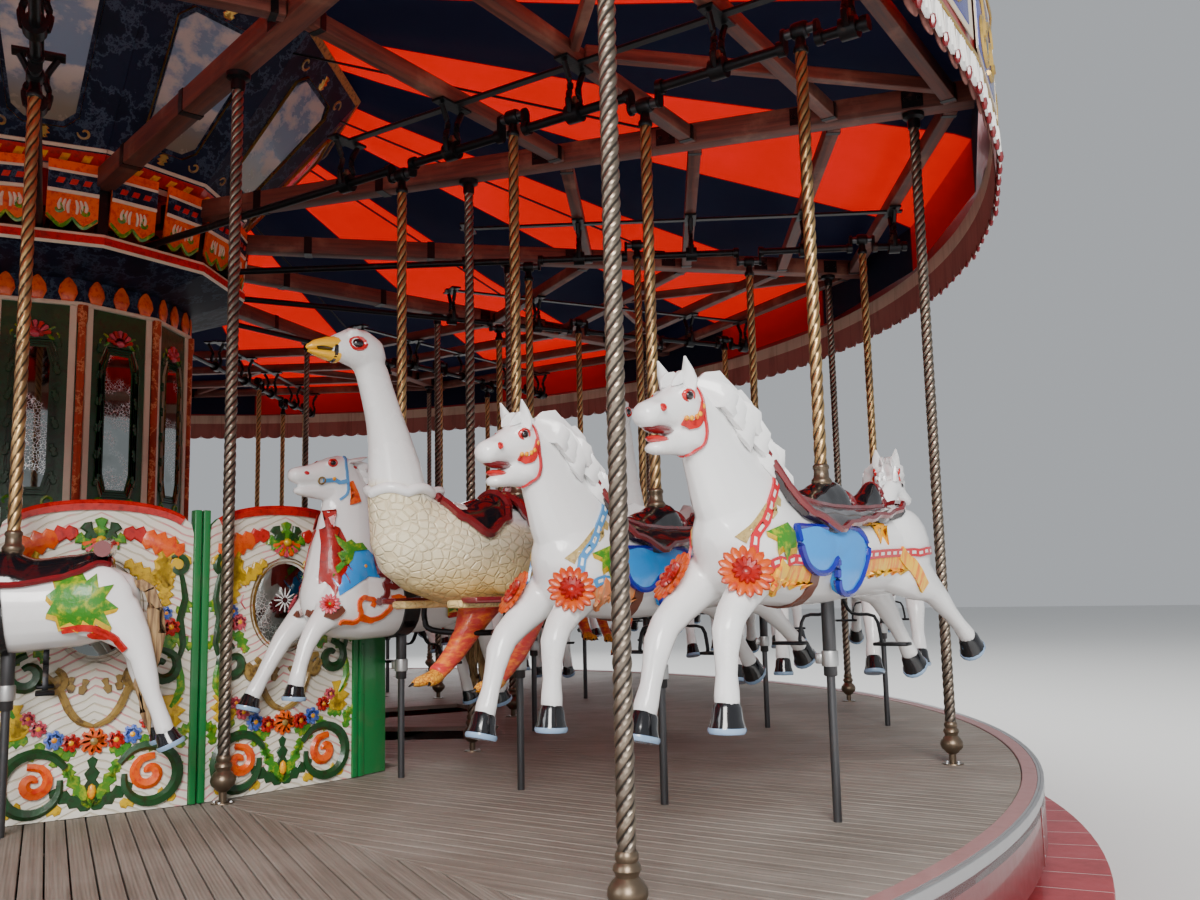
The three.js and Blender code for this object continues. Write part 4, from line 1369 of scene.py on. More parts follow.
def screenPanel():
    # one panel of the well screen; local (across, up) from the middle of its foot
    panel, growth = Shape(), Shape()
    bay = math.radians(screen["pitch"] / 2)
    flat, half = screen["radius"] * math.cos(bay), screen["radius"] * math.sin(bay) - 0.034
    at = standing(flat - 0.006, 0, screen["foot"])
    front = at @ shift(0, 0, 0.006)
    top, mid = screen["arch"], screen["mirror"]
    turns = [math.pi * k / 14 for k in range(15)]
    arch = [(half * math.cos(a), top + 0.118 * max(0.0, math.sin(a)) ** 0.8) for a in turns]
    edge = [(-half, 0.0), (half, 0.0), *arch]
    panel.add(plate(edge, 0.006), creamRibs, at)
    panel.add(plate(edge, 0.012), postGreen, standing(flat - 0.026, 0, screen["foot"]))
    scroll(panel, [(u * 0.97, v - 0.012) for u, v in arch[2:-2]], 0.045, redCarved, 0.008, at, taper=0.8)
    panel.add(plate(ellipse(0.14, 0.175, mid), 0.01), mirror, at)
    panel.add(ringPlate(ellipse(0.163, 0.2, mid), 0.026, 0.02), goldBrown, at)
    panel.add(ringPlate(ellipse(0.15, 0.187, mid), 0.006, 0.026), gilt, at)
    for k in range(12):  # etched star on the glass
        a = math.tau * k / 12
        ray = [(r * math.cos(a), mid + 0.02 + r * math.sin(a)) for r in (0.012, 0.03, 0.052)]
        scroll(panel, ray, 0.006, white, 0.011, at, 4)
    for side in (-1, 1):
        screenSide(panel, growth, side, at, front)
    flower(growth, 0, 0.275, 0.05, orange, goldBrown, front, 9)
    for k in range(5):  # foot leaf and crest leaf
        a = math.pi * (0.15 + 0.7 * k / 4)
        light, dark = (leafGreen, darkGreen) if k % 2 else (darkGreen, leafGreen)
        leaf(growth, 0, 0.03, 0.14 + 0.05 * math.sin(a), 0.06, a, light, at, 4)
        leaf(growth, 0, 1.0, 0.08 + 0.04 * math.sin(a), 0.07, a, dark, front, 3, 0.012)
    panel.add(ball(1, (0.016, 0.03, 0.012), (0, 0.09, 0.014), 8, 6), yellow, at)
    for k in range(7):  # shell below the crest
        a = -math.pi * (0.1 + 0.8 * k / 6)
        leaf(growth, 0, 1.035, 0.07, 0.026, a, pink if k % 2 else orange, front @ shift(0, 0, 0.006), 2)
    panel.add(ball(1, (0.02, 0.018, 0.014), (0, 1.03, 0.02), 10, 6), leafYellow, front)
    print("screen panel", panel.triangles(), "and", growth.triangles(), "triangles")
    return panel.mesh("screenPanel"), growth.mesh("screenGrowth")


def screenPosts():
    # a pair of green posts at each joint, and one board across the end
    posts = Shape()
    foot = screen["foot"]
    for k in range(screen["count"] + 1):
        m = turnZ(math.radians(screen["start"] - screen["pitch"] * k))
        for y0 in (-0.032, 0.004):
            posts.add(block(*screen["post"], y0, y0 + 0.028, foot, screen["postTop"], 0.004, 2), postGreen, m)
    end = turnZ(math.radians(screen["start"] + 1.8))
    posts.add(block(*screen["endBoard"], -0.088, 0.088, foot, screen["endTop"], 0.004, 2), postGreen, end)
    return posts.mesh("screenPosts")


spread = [turnZ(math.radians(screen["start"] - screen["pitch"] * (k + 0.5))) for k in range(screen["count"])]
for figure, name in zip(screenPanel(), ("screenPanels", "screenLeaves")):
    putOut(stamp(figure, spread, name), name, "turntable", ["well_screens"])
putOut(screenPosts(), "screenPosts", "turntable", ["well_screens"])
print("screens stand")


def strapPaint(name, colour, mark):
    # painted strap with a row of pale dashes down its middle; strapAt holds (along, across)
    p = Paint(name, colour, 0.2, 0.0, 0.4)
    run, across, _ = p.parts(p.local("strapAt"))
    beat = run % 0.05
    dash = p.step(beat, 0.008, 0.012) * (1.0 - p.step(beat, 0.036, 0.04)) * (1.0 - p.step(abs(across), 0.3, 0.42))
    wander = p.noise(p.place(), 40, 3)
    return p.feed(
        Base_Color=p.blend(dash, p.blend(wander * 0.4, colour, tuple(c * 0.6 for c in colour)), mark),
        Roughness=wander * 0.15 + 0.15,
        Normal=p.bump(dash, 0.0008, 0.6),
    )


def fringePaint(name, colour, streak, deep):
    # hanging fringe: strands along local Z, each a little different
    p = Paint(name, colour, 0.4, 0.0, 0.15)
    strand = p.noise(p.stretch(p.local(), (55, 25, 5)), 1.0, 3, 0.6)
    tone = p.blend(p.step(strand, 0.46, 0.56), colour, streak)
    return p.feed(
        Base_Color=p.blend(p.step(strand, 0.62, 0.7), tone, deep),
        Roughness=strand * 0.3 + 0.25,
        Normal=p.bump(strand, 0.003, 0.7),
    )


def coatWhite():
    # many coats of white enamel over carved wood: soft brush relief with greyer streaks, patches of brown soil,
    # fine crazing
    p = Paint("whiteCoat", (0.83, 0.83, 0.82), 0.2, 0.0, 0.35)
    at = p.local()
    brush = p.noise(p.stretch(at, (9, 30, 30)), 1.0, 4, 0.6)
    soil = p.step(p.noise(at, 4.5, 5, 0.65), 0.56, 0.82) * 0.2
    craze = p.step(p.cells(at, 42, "DISTANCE_TO_EDGE"), 0.0, 0.018)
    tone = p.blend(brush * 0.3, (0.9, 0.9, 0.895), (0.8, 0.81, 0.82))
    return p.feed(
        Base_Color=p.blend(soil, tone, (0.42, 0.36, 0.28)),
        Roughness=brush * 0.16 + soil + 0.13,
        Normal=p.bump(brush * 0.8 + craze * 0.12, 0.0012, 0.5),
    )


def birdCoat():
    # cream breast with carved scales that turn yellow towards the belly; white above the neck line
    p = Paint("birdCoat", (0.8, 0.7, 0.45), 0.26, 0.0, 0.3)
    at = p.local()
    x, _, z = p.parts(at)
    scales = 1.0 - p.step(p.cells(p.stretch(at, (1.0, 1.0, 1.25)), 26, "DISTANCE_TO_EDGE"), 0.02, 0.13)
    low = 1.0 - p.step(z + x * 0.15, 0.86, 1.06)
    neck = p.step(z - x * 0.25, 0.99, 1.05)
    soft = p.noise(at, 9, 4)
    tone = p.blend(soft * 0.5, (0.84, 0.76, 0.55), (0.74, 0.62, 0.36))
    tone = p.blend(low * 0.7, tone, (0.78, 0.52, 0.14))
    tone = p.blend(scales * 0.35, tone, (0.55, 0.42, 0.2))
    return p.feed(
        Base_Color=p.blend(neck, tone, (0.84, 0.84, 0.83)),
        Roughness=soft * 0.2 + 0.16,
        Normal=p.bump((1.0 - scales) * (1.0 - neck), 0.004, 0.8),
    )


def plumage():
    p = Paint("redPlumage", (0.6, 0.03, 0.03), 0.35, 0.0, 0.15)
    barb = p.noise(p.stretch(p.local(), (18, 18, 50)), 1.0, 4, 0.65)
    return p.feed(
        Base_Color=p.blend(p.step(barb, 0.42, 0.66), (0.62, 0.045, 0.04), (0.85, 0.22, 0.03)),
        Roughness=barb * 0.3 + 0.2,
        Normal=p.bump(barb, 0.006, 0.9),
    )


def birdFoot():
    p = Paint("birdFoot", (0.85, 0.35, 0.02), 0.35, 0.0, 0.2)
    scales = p.step(p.cells(p.local(), 60, "DISTANCE_TO_EDGE"), 0.0, 0.12)
    return p.feed(
        Base_Color=p.blend(scales, (0.5, 0.1, 0.01), (0.86, 0.4, 0.03)),
        Roughness=scales * 0.15 + 0.3,
        Normal=p.bump(scales, 0.002, 0.8),
    )


def straw():
    p = Paint("strawHair", (0.3, 0.17, 0.07), 0.7)
    hair = p.noise(p.stretch(p.local(), (90, 90, 4)), 1.0, 5, 0.6)
    return p.feed(
        Base_Color=p.blend(p.step(hair, 0.35, 0.65), (0.12, 0.06, 0.025), (0.42, 0.27, 0.12)),
        Roughness=hair * 0.2 + 0.6,
        Normal=p.bump(hair, 0.004, 0.9),
    )


coat = coatWhite()
featherCoat = birdCoat()
redPlumes = plumage()
orangeFoot = birdFoot()
strawHair = straw()
redStrap = strapPaint("dashedRed", (0.62, 0.015, 0.03), (0.84, 0.8, 0.76))
blueStrap = strapPaint("dashedBlue", (0.08, 0.3, 0.62), (0.8, 0.84, 0.86))
yellowFringe = fringePaint("yellowFringe", (0.9, 0.52, 0.02), (0.86, 0.24, 0.01), (0.7, 0.04, 0.01))
brownFringe = fringePaint("brownFringe", (0.72, 0.2, 0.05), (0.62, 0.28, 0.12), (0.5, 0.05, 0.02))
# glossy black saddle skirt, painted a little lighter than the black seat as painted reflection of the sky on the
# gloss
skirtPaintedReflection = enamel("saddleSkirtPaintedReflection", (0.03, 0.022, 0.024), 0.1, 0.6, 0.25)
mouthRed = enamel("mouthRed", (0.6, 0.02, 0.02), 0.15, 0.5, 0.05)
pupil = enamel("pupilBlack", (0.01, 0.008, 0.01), 0.06, 0.8, 0.0)
beakYellow = enamel("beakYellow", (0.9, 0.48, 0.02), 0.2, 0.4, 0.15, (0.5, 0.15, 0.02))
hotOrange = carved("hotOrange", (0.58, 0.075, 0.0), (0.45, 0.012, 0.0))
hotRed = carved("hotRed", (0.36, 0.005, 0.002), (0.2, 0.0, 0.0))


def limb(points, sides=14):
    # a closed lump through (x, y, z, half width, half height) stations
    stations = []
    for i, (x, y, z, w, h) in enumerate(points):
        a, b = points[max(i - 1, 0)], points[min(i + 1, len(points) - 1)]
        stations.append(((x, y, z), Vector(b[:3]) - Vector(a[:3]), (0, 1, 0), w, h))
    return loft(stations, sides)


def midline(points, sides=16):
    return limb([(x, 0, z, w, h) for x, z, w, h in points], sides)


def lump(size, place, u=12, v=8):
    return ball(1, size, place, u, v)


def carve(parts, voxel, faces, ease):
    # joins closed lumps into one skin, eases it, and thins it to about the number of faces asked for
    joined = bmesh.new()
    for part in parts:
        bmesh.ops.recalc_face_normals(part, faces=part.faces)
        pour(part, joined)
    mesh = bpy.data.meshes.new("clay")
    joined.to_mesh(mesh)
    joined.free()
    model = linked("clay", mesh)
    skin = model.modifiers.new("skin", "REMESH")
    skin.mode, skin.voxel_size = "VOXEL", voxel
    soft = model.modifiers.new("ease", "SMOOTH")
    soft.factor, soft.iterations = 0.5, ease
    count = len(model.evaluated_get(bpy.context.evaluated_depsgraph_get()).data.polygons) * 2
    less = model.modifiers.new("thin", "DECIMATE")
    less.ratio = min(1.0, faces / count)
    model.update_tag()
    made = bpy.data.meshes.new_from_object(model.evaluated_get(bpy.context.evaluated_depsgraph_get()))
    bpy.data.objects.remove(model)
    bpy.data.meshes.remove(mesh)
    return made


def clothed(clay, finish):
    # a carved body as the start of a shape, and its surface for laying things on
    clay.materials.append(finish)
    held = bmesh.new()
    held.from_mesh(clay)
    tree = BVHTree.FromBMesh(held)
    held.free()
    made = Shape().take(clay)
    bpy.data.meshes.remove(clay)
    return made, tree


def between(table, x):
    # value of a table of (x, value) pairs in rising x, eased between its entries
    if x <= table[0][0]:
        return table[0][1]
    for (a, u), (b, v) in zip(table, table[1:]):
        if x <= b:
            t = (x - a) / (b - a)
            return u + (v - u) * t * t * (3 - 2 * t)
    return table[-1][1]


def hem(part, depth):
    # turns the open border of a draped patch down into what it lies on
    part.normal_update()
    edges = [e for e in part.edges if e.is_boundary]
    down = {v.co.copy().freeze(): v.normal.copy() for e in edges for v in e.verts}
    for v in newVerts(bmesh.ops.extrude_edge_only(part, edges=edges)["geom"]):
        v.co -= down[v.co.copy().freeze()] * depth


def lay(shape, part, finishes):
    # adds a bmesh whose faces already carry finish numbers and point the right way
    held = bpy.data.meshes.new("held")
    for finish in finishes:
        held.materials.append(finish)
    part.to_mesh(held)
    part.free()
    shape.take(held)
    bpy.data.meshes.remove(held)


def patch(outline, band):
    # a flat face in the XZ plane and the set of faces of its edge band
    part = bmesh.new()
    face = part.faces.new([part.verts.new((x, 0, z)) for x, z in outline])
    if not band:
        return part, set()
    made = bmesh.ops.inset_region(part, faces=[face], thickness=band, use_even_offset=True, use_boundary=True)
    return part, set(made["faces"])


def faceOut(part, side):
    part.normal_update()
    if sum(f.normal.y * f.calc_area() for f in part.faces) * side < 0:
        bmesh.ops.reverse_faces(part, faces=part.faces[:])


def draped(shape, skin, outline, side, lift, finish, band=0.0, bandFinish=None, crown=0.0, cell=0.035):
    # lays a flat outline of (x, z) corners on one flank of a carved body, with an edge band and a crowned middle
    part, edge = patch(outline, band)
    for f in part.faces:
        f.material_index = 1 if f in edge else 0
    bmesh.ops.triangulate(part, faces=part.faces[:])
    xs, zs = [x for x, z in outline], [z for x, z in outline]
    for axis, low, high in ((0, min(xs), max(xs)), (2, min(zs), max(zs))):
        for k in range(1, int((high - low) / cell) + 1):
            at, way = [0, 0, 0], [0, 0, 0]
            at[axis], way[axis] = low + k * cell, 1
            geom = part.verts[:] + part.edges[:] + part.faces[:]
            bmesh.ops.bisect_plane(part, geom=geom, dist=1e-5, plane_co=at, plane_no=way)
    corners = [Vector((x, z)) for x, z in outline]
    lines = list(zip(corners, corners[1:] + corners[:1]))
    for v in part.verts:
        here = Vector((v.co.x, v.co.z))
        deep = 1.0
        for a, b in lines:
            t = max(0.0, min(1.0, (here - a).dot(b - a) / max((b - a).length_squared, 1e-9)))
            deep = min(deep, (here - a.lerp(b, t)).length)
        spot, normal, _, _ = skin.ray_cast((v.co.x, side, v.co.z), (0, -side, 0))
        if spot is None:
            spot, normal, _, _ = skin.find_nearest((v.co.x, side * 0.12, v.co.z))
        ease = min(deep / 0.05, 1.0)
        v.co = spot + normal * (lift + crown * ease * (2 - ease))
    faceOut(part, side)
    hem(part, lift + 0.012)
    lay(shape, part, [finish, bandFinish or finish])


def flank(points, side):
    return [(x, side * y, z) for x, y, z in points]


def strap(shape, skin, points, width, finish, thick=0.008, steps=4):
    # a flat strap along points, laid on the skin, with (along, across) kept for its paint
    spots = []
    for q in bent(points, steps):
        spot, normal, _, _ = skin.find_nearest(q)
        if not spots or (spot - spots[-1][0]).length > 0.003:
            spots.append((spot, normal))
    stations, run = [], [0.0]
    for i, (spot, normal) in enumerate(spots):
        way = spots[min(i + 1, len(spots) - 1)][0] - spots[max(i - 1, 0)][0]
        if i:
            run.append(run[-1] + (spot - spots[i - 1][0]).length)
        stations.append((spot + normal * thick * 0.45, way, way.cross(normal), width * 0.7071, thick * 0.7071))
    part = loft(stations, 4, math.pi / 4)
    layer = part.verts.layers.float_vector.new("strapAt")
    part.verts.index_update()
    for v in part.verts:
        k = min(v.index // 4, len(stations) - 1)
        centre, _, side, _, _ = stations[k]
        v[layer] = (run[k], (v.co - centre).dot(Vector(side).normalized()) / (width * 0.5), 0)
    shape.add(part, finish)


def facing(spot, normal):
    z = Vector(normal).normalized()
    x = Vector((0, 0, 1)).cross(z).normalized()
    m = Matrix((x, z.cross(x), z)).transposed().to_4x4()
    m.translation = spot
    return m


def rosette(radius, outer, inner, heart, petals=13):
    # a carved flower facing +Z
    made = Shape()
    rings = ((radius, outer, petals + 3, 0.16), (radius * 0.6, inner, petals, 0.42))
    for ring, (reach, finish, count, tip) in enumerate(rings):
        w = reach * 0.19
        half = [(0.12 * reach, 0.4 * w), (0.6 * reach, w), (0.9 * reach, 0.6 * w)]
        outline = [(u, -v) for u, v in half] + [(reach, 0)] + half[::-1]
        for k in range(count):
            place = turnZ(math.tau * (k + ring * 0.5) / count) @ Matrix.Rotation(-tip, 4, "Y")
            petal = plate(outline, radius * 0.09, inset=w * 0.35, rise=radius * 0.05)
            made.add(petal, finish, place @ shift(0, 0, 0.003 * ring))
    made.add(ball(radius * 0.2, (1, 1, 0.6), (0, 0, radius * 0.2), 10, 6), heart)
    return made.mesh("rosette", local=False)


def pinned(shape, skin, unit, near, lift):
    spot, normal, _, _ = skin.find_nearest(near)
    shape.take(unit, facing(spot + normal * lift, normal))


def dab(shape, skin, near, radius, stretch, finish, u=10):
    # a low knob of paint or carving on the skin
    spot, normal, _, _ = skin.find_nearest(near)
    shape.add(ball(radius, stretch, (0, 0, 0), u, 6), finish, facing(spot, normal))


def breastRosette(shape, skin, near, unit, lean):
    spot, normal, _, _ = skin.find_nearest(near)
    shape.take(unit, facing(spot + normal * 0.004, normal + Vector(lean)))


def lock(shape, points, width, finish, sides=6):
    # a carved lock of hair: thick in the middle, drawn out to a point
    line = bent(points, 2)
    sizes = []
    for i in range(len(line)):
        swell = math.sin(math.pi * min(0.16 + 0.84 * i / (len(line) - 1), 1.0)) ** 0.7
        sizes.append((max(width * swell, 0.002), max(width * 0.55 * swell, 0.0015)))
    shape.add(along(line, sizes, sides), finish)


def eye(shape, skin, near, radius):
    spot, normal, _, _ = skin.find_nearest(near)
    m = facing(spot - normal * radius * 0.3, normal)
    lid = [(0.72, 0), (1.0, 0.3), (1.35, 0.42), (1.6, 0.1), (1.5, -0.4)]
    ring = lathe([(radius * u, radius * v) for u, v in lid], 12)
    shape.add(ring, mouthRed, m @ Matrix.Diagonal((1.15, 0.85, 1, 1)))
    shape.add(ball(radius, (1.05, 0.8, 0.62), (0, 0, radius * 0.12), 12, 8), pupil, m)


def ear(shape, root, tip, width):
    # a pricked ear: broad across and thin along
    root, tip = Vector(root), Vector(tip)
    lean = Vector((0.012, 0, 0))
    line = [root, root.lerp(tip, 0.3) - lean * 0.8, root.lerp(tip, 0.62) - lean * 0.5, tip]
    sizes = (width * 0.8, width, width * 0.74, 0.003)
    shape.add(loft([(q, tip - root, (0, 1, 0), w, w * 0.55) for q, w in zip(line, sizes)], 10), coat)


def hooves(shape, plan, tilts, radius, high):
    # black hooves with pale blue soles at the ends of the legs
    for key, tilt in zip(("near", "off", "nearHind", "offHind"), tilts):
        m = Vector((0, 0, -1)).rotation_difference(Vector(tilt).normalized()).to_matrix().to_4x4()
        m.translation = plan[key][-1][:3]
        m = m @ Matrix.Diagonal((1.12, 0.92, 1, 1))
        wall = [
            (0, 0.012), (radius * 0.7, 0.01), (radius * 0.84, -0.004), (radius * 0.92, -high * 0.5),
            (radius * 1.08, -high + 0.01), (0, -high + 0.01),
        ]
        sole = [(0, 0.013), (radius * 1.1, 0.013), (radius * 1.14, 0.004), (radius * 1.05, -0.004), (0, -0.006)]
        shape.add(lathe(wall, 14), black, m)
        shape.add(lathe(raised(sole, -high), 14), soleBlue, m)


galloper = {
    "barrel": [
        (-0.665, 0.925, 0.02, 0.035), (-0.65, 0.925, 0.06, 0.085), (-0.61, 0.925, 0.1, 0.125),
        (-0.55, 0.925, 0.135, 0.15), (-0.46, 0.925, 0.155, 0.162), (-0.32, 0.92, 0.16, 0.163),
        (-0.12, 0.912, 0.162, 0.16), (0.1, 0.905, 0.168, 0.17), (0.3, 0.915, 0.168, 0.182),
        (0.46, 0.93, 0.158, 0.185), (0.58, 0.935, 0.138, 0.175), (0.64, 0.93, 0.115, 0.155),
        (0.69, 0.92, 0.075, 0.11), (0.712, 0.91, 0.03, 0.045),
    ],
    "neck": [
        (0.42, 0.98, 0.12, 0.19), (0.54, 1.058, 0.115, 0.2), (0.61, 1.138, 0.095, 0.175),
        (0.66, 1.205, 0.08, 0.148), (0.71, 1.275, 0.068, 0.128), (0.748, 1.33, 0.058, 0.1),
        (0.775, 1.37, 0.04, 0.06),
    ],
    "face": [
        (0.745, 1.33, 0.03, 0.05), (0.77, 1.33, 0.05, 0.075), (0.81, 1.332, 0.06, 0.08),
        (0.855, 1.33, 0.062, 0.08), (0.9, 1.322, 0.054, 0.064), (0.945, 1.31, 0.045, 0.049),
        (0.985, 1.3, 0.043, 0.043), (1.015, 1.292, 0.043, 0.04), (1.035, 1.287, 0.033, 0.028),
        (1.042, 1.285, 0.012, 0.01),
    ],
    "jaw": [
        (0.775, 1.29, 0.038, 0.055), (0.8, 1.262, 0.046, 0.066), (0.84, 1.24, 0.044, 0.054),
        (0.885, 1.224, 0.038, 0.037), (0.93, 1.21, 0.033, 0.026), (0.965, 1.202, 0.033, 0.021),
        (0.985, 1.2, 0.029, 0.017), (0.996, 1.2, 0.012, 0.008),
    ],
    "near": [
        (0.42, 0.07, 0.93, 0.07, 0.12), (0.54, 0.085, 0.885, 0.07, 0.1), (0.63, 0.1, 0.83, 0.058, 0.076),
        (0.71, 0.108, 0.775, 0.049, 0.058), (0.77, 0.11, 0.725, 0.045, 0.05), (0.8, 0.111, 0.675, 0.045, 0.046),
        (0.808, 0.112, 0.615, 0.036, 0.037), (0.812, 0.113, 0.555, 0.032, 0.033),
        (0.817, 0.115, 0.505, 0.037, 0.038), (0.82, 0.116, 0.468, 0.038, 0.039),
    ],
    "off": [
        (0.42, -0.07, 0.93, 0.07, 0.12), (0.54, -0.085, 0.87, 0.07, 0.1), (0.64, -0.1, 0.805, 0.058, 0.074),
        (0.73, -0.108, 0.74, 0.049, 0.057), (0.8, -0.11, 0.69, 0.045, 0.05),
        (0.835, -0.111, 0.64, 0.045, 0.046), (0.855, -0.112, 0.58, 0.036, 0.037),
        (0.875, -0.113, 0.52, 0.032, 0.033), (0.893, -0.115, 0.472, 0.037, 0.038),
        (0.905, -0.116, 0.438, 0.038, 0.039),
    ],
    "nearHind": [
        (-0.3, 0.07, 0.92, 0.085, 0.14), (-0.42, 0.09, 0.87, 0.08, 0.125), (-0.52, 0.1, 0.82, 0.064, 0.092),
        (-0.6, 0.104, 0.79, 0.05, 0.064), (-0.66, 0.105, 0.762, 0.043, 0.052),
        (-0.72, 0.105, 0.728, 0.04, 0.046), (-0.8, 0.106, 0.68, 0.032, 0.034),
        (-0.88, 0.107, 0.632, 0.03, 0.031), (-0.935, 0.108, 0.597, 0.035, 0.036),
        (-0.96, 0.108, 0.578, 0.035, 0.036),
    ],
    "offHind": [
        (-0.3, -0.07, 0.92, 0.085, 0.14), (-0.42, -0.09, 0.87, 0.08, 0.125), (-0.52, -0.1, 0.815, 0.064, 0.092),
        (-0.59, -0.102, 0.775, 0.05, 0.064), (-0.64, -0.103, 0.735, 0.043, 0.052),
        (-0.69, -0.104, 0.69, 0.04, 0.046), (-0.755, -0.105, 0.63, 0.032, 0.034),
        (-0.82, -0.106, 0.57, 0.03, 0.031), (-0.86, -0.107, 0.53, 0.035, 0.036),
        (-0.88, -0.108, 0.508, 0.035, 0.036),
    ],
    "tilts": ((0.06, 0, -1), (0.25, 0, -1), (-0.62, 0, -0.8), (-0.62, 0, -0.8)),
    "swells": [  # shoulder, haunch, breast, cheek, brow, nostril: size, place, steps
        ((0.17, 0.045, 0.13), (0.46, 0.105, 0.93), 16, 10), ((0.17, 0.062, 0.16), (-0.42, 0.11, 0.92), 16, 10),
        ((0.1, 0.055, 0.11), (0.57, 0.055, 0.92), 14, 8), ((0.05, 0.02, 0.055), (0.815, 0.042, 1.265), 12, 8),
        ((0.034, 0.016, 0.016), (0.872, 0.05, 1.372), 10, 6), ((0.022, 0.014, 0.018), (0.99, 0.038, 1.312), 10, 6),
    ],
}


def horseClay(plan, voxel, faces, ease):
    parts = [limb(plan[k]) for k in ("near", "off", "nearHind", "offHind")]
    parts += [midline(plan["barrel"], 20), midline(plan["neck"]), midline(plan["face"]), midline(plan["jaw"])]
    for side in (-1, 1):
        parts += [lump(size, (x, side * y, z), u, v) for size, (x, y, z), u, v in plan["swells"]]
    return carve(parts, voxel, faces, ease)


def over(skin, plan, x, t):
    # point of a saddle at x along the back and t = -1..1 across it
    front, rear, thick = plan["front"], plan["rear"], plan["thick"]
    spread = between(plan["spread"], x)
    if rear + 0.03 < x < front - 0.1:
        spread += plan["scallop"] * abs(math.sin((x - rear) * math.pi / 0.145))
    a = t * spread
    out = Vector((0, math.sin(a), math.cos(a)))
    spot, _, _, _ = skin.ray_cast(Vector((x, 0, plan["axis"])) + out * 0.6, -out)
    if spot is None:
        spot = Vector((x, 0, plan["axis"])) + out * 0.14
    high = thick + (between(plan["seat"], x) - thick) * max(0.0, 1 - (abs(t) / plan["edge"]) ** 2)
    return spot + out * (high + plan["flare"] * max(0.0, abs(t) - plan["edge"]))


def wrap(shape, skin, plan, seat, skirt, roll):
    # lays a saddle over a back: one grid, with rolls along the seat, the skirt and the cantles
    front, rear, edge = plan["front"], plan["rear"], plan["edge"]
    part = bmesh.new()
    bmesh.ops.create_grid(part, x_segments=plan["across"], y_segments=plan["round"], size=1)
    for f in part.faces:
        f.material_index = 1 if abs(f.calc_center_median().y) > edge else 0
    for v in part.verts:
        v.co = over(skin, plan, rear + (front - rear) * (v.co.x + 1) / 2, v.co.y)
    part.normal_update()
    if sum(f.normal.z for f in part.faces) < 0:
        bmesh.ops.reverse_faces(part, faces=part.faces[:])
    hem(part, 0.03)
    lay(shape, part, [seat, skirt])
    xs = [rear + (front - rear) * k / 28 for k in range(29)]
    lines = [[(x, t) for x in xs] for t in ((1.0, -1.0, -edge, edge) if edge < 0.95 else (1.0, -1.0))]
    lines += [[(x, t / 8) for t in range(-8, 9)] for x in (front, rear)]
    lines += [[(x, edge * t / 6) for t in range(-6, 7)] for x in plan["cantles"]]
    for line in lines:
        shape.add(along([over(skin, plan, x, t) for x, t in line], plan["roll"], 6), roll)


saddlePlan = {
    "front": 0.52, "rear": -0.42, "axis": 0.93, "across": 38, "round": 28, "scallop": 0.06, "thick": 0.014,
    "edge": 0.5, "roll": 0.0125, "flare": 0.05, "cantles": [-0.1, -0.38],
    "spread": [
        (-0.42, 0.45), (-0.3, 0.78), (-0.15, 0.9), (0.05, 1.08), (0.25, 1.27), (0.38, 1.0), (0.46, 0.6),
        (0.52, 0.3),
    ],
    "seat": [
        (-0.42, 0.05), (-0.37, 0.1), (-0.3, 0.06), (-0.22, 0.026), (-0.13, 0.03), (-0.085, 0.08), (-0.04, 0.1),
        (0.03, 0.088), (0.1, 0.06), (0.2, 0.026), (0.34, 0.016), (0.46, 0.02), (0.52, 0.014),
    ],
}


toy = {
    "place": (-0.49, 0, 1.04), "size": 0.74,
    "head": [
        (0.0, 0.02, 0.05, 0.06), (0.03, 0.1, 0.045, 0.07), (0.07, 0.17, 0.042, 0.062),
        (0.13, 0.18, 0.042, 0.055), (0.2, 0.15, 0.034, 0.038), (0.26, 0.12, 0.034, 0.034),
        (0.285, 0.108, 0.015, 0.014),
    ],
    "jaw": [(0.12, 0.12, 0.026, 0.026), (0.19, 0.075, 0.022, 0.016), (0.235, 0.045, 0.02, 0.012)],
    "ear": [
        (0.075, 0.028, 0.215, 0.016, 0.018), (0.07, 0.034, 0.26, 0.014, 0.015),
        (0.075, 0.036, 0.3, 0.003, 0.003),
    ],
}


def toyHead(shape):
    # the little horse's head that looks back from behind the second seat
    size = toy["size"]
    m = shift(*toy["place"]) @ turnZ(math.pi) @ Matrix.Diagonal((size, size, size, 1))
    shape.add(midline(toy["head"], 10), coat, m)
    shape.add(midline(toy["jaw"], 8), coat, m)
    shape.add(lump((0.05, 0.022, 0.014), (0.19, 0, 0.098), 8, 6), mouthRed, m)
    for side in (-1, 1):
        shape.add(limb([(x, side * y, z, w, h) for x, y, z, w, h in toy["ear"]], 6), coat, m)
        shape.add(lump((0.013, 0.008, 0.011), (0.14, side * 0.039, 0.195), 8, 6), pupil, m)
    for k in range(5):
        z = 0.04 + k * 0.045
        curlDown = [(0.02, 0, z + 0.03), (-0.03, 0, z + 0.02), (-0.045, 0, z - 0.03)]
        lock(shape, [m @ Vector(q) for q in curlDown], 0.016 * size, coat, 5)


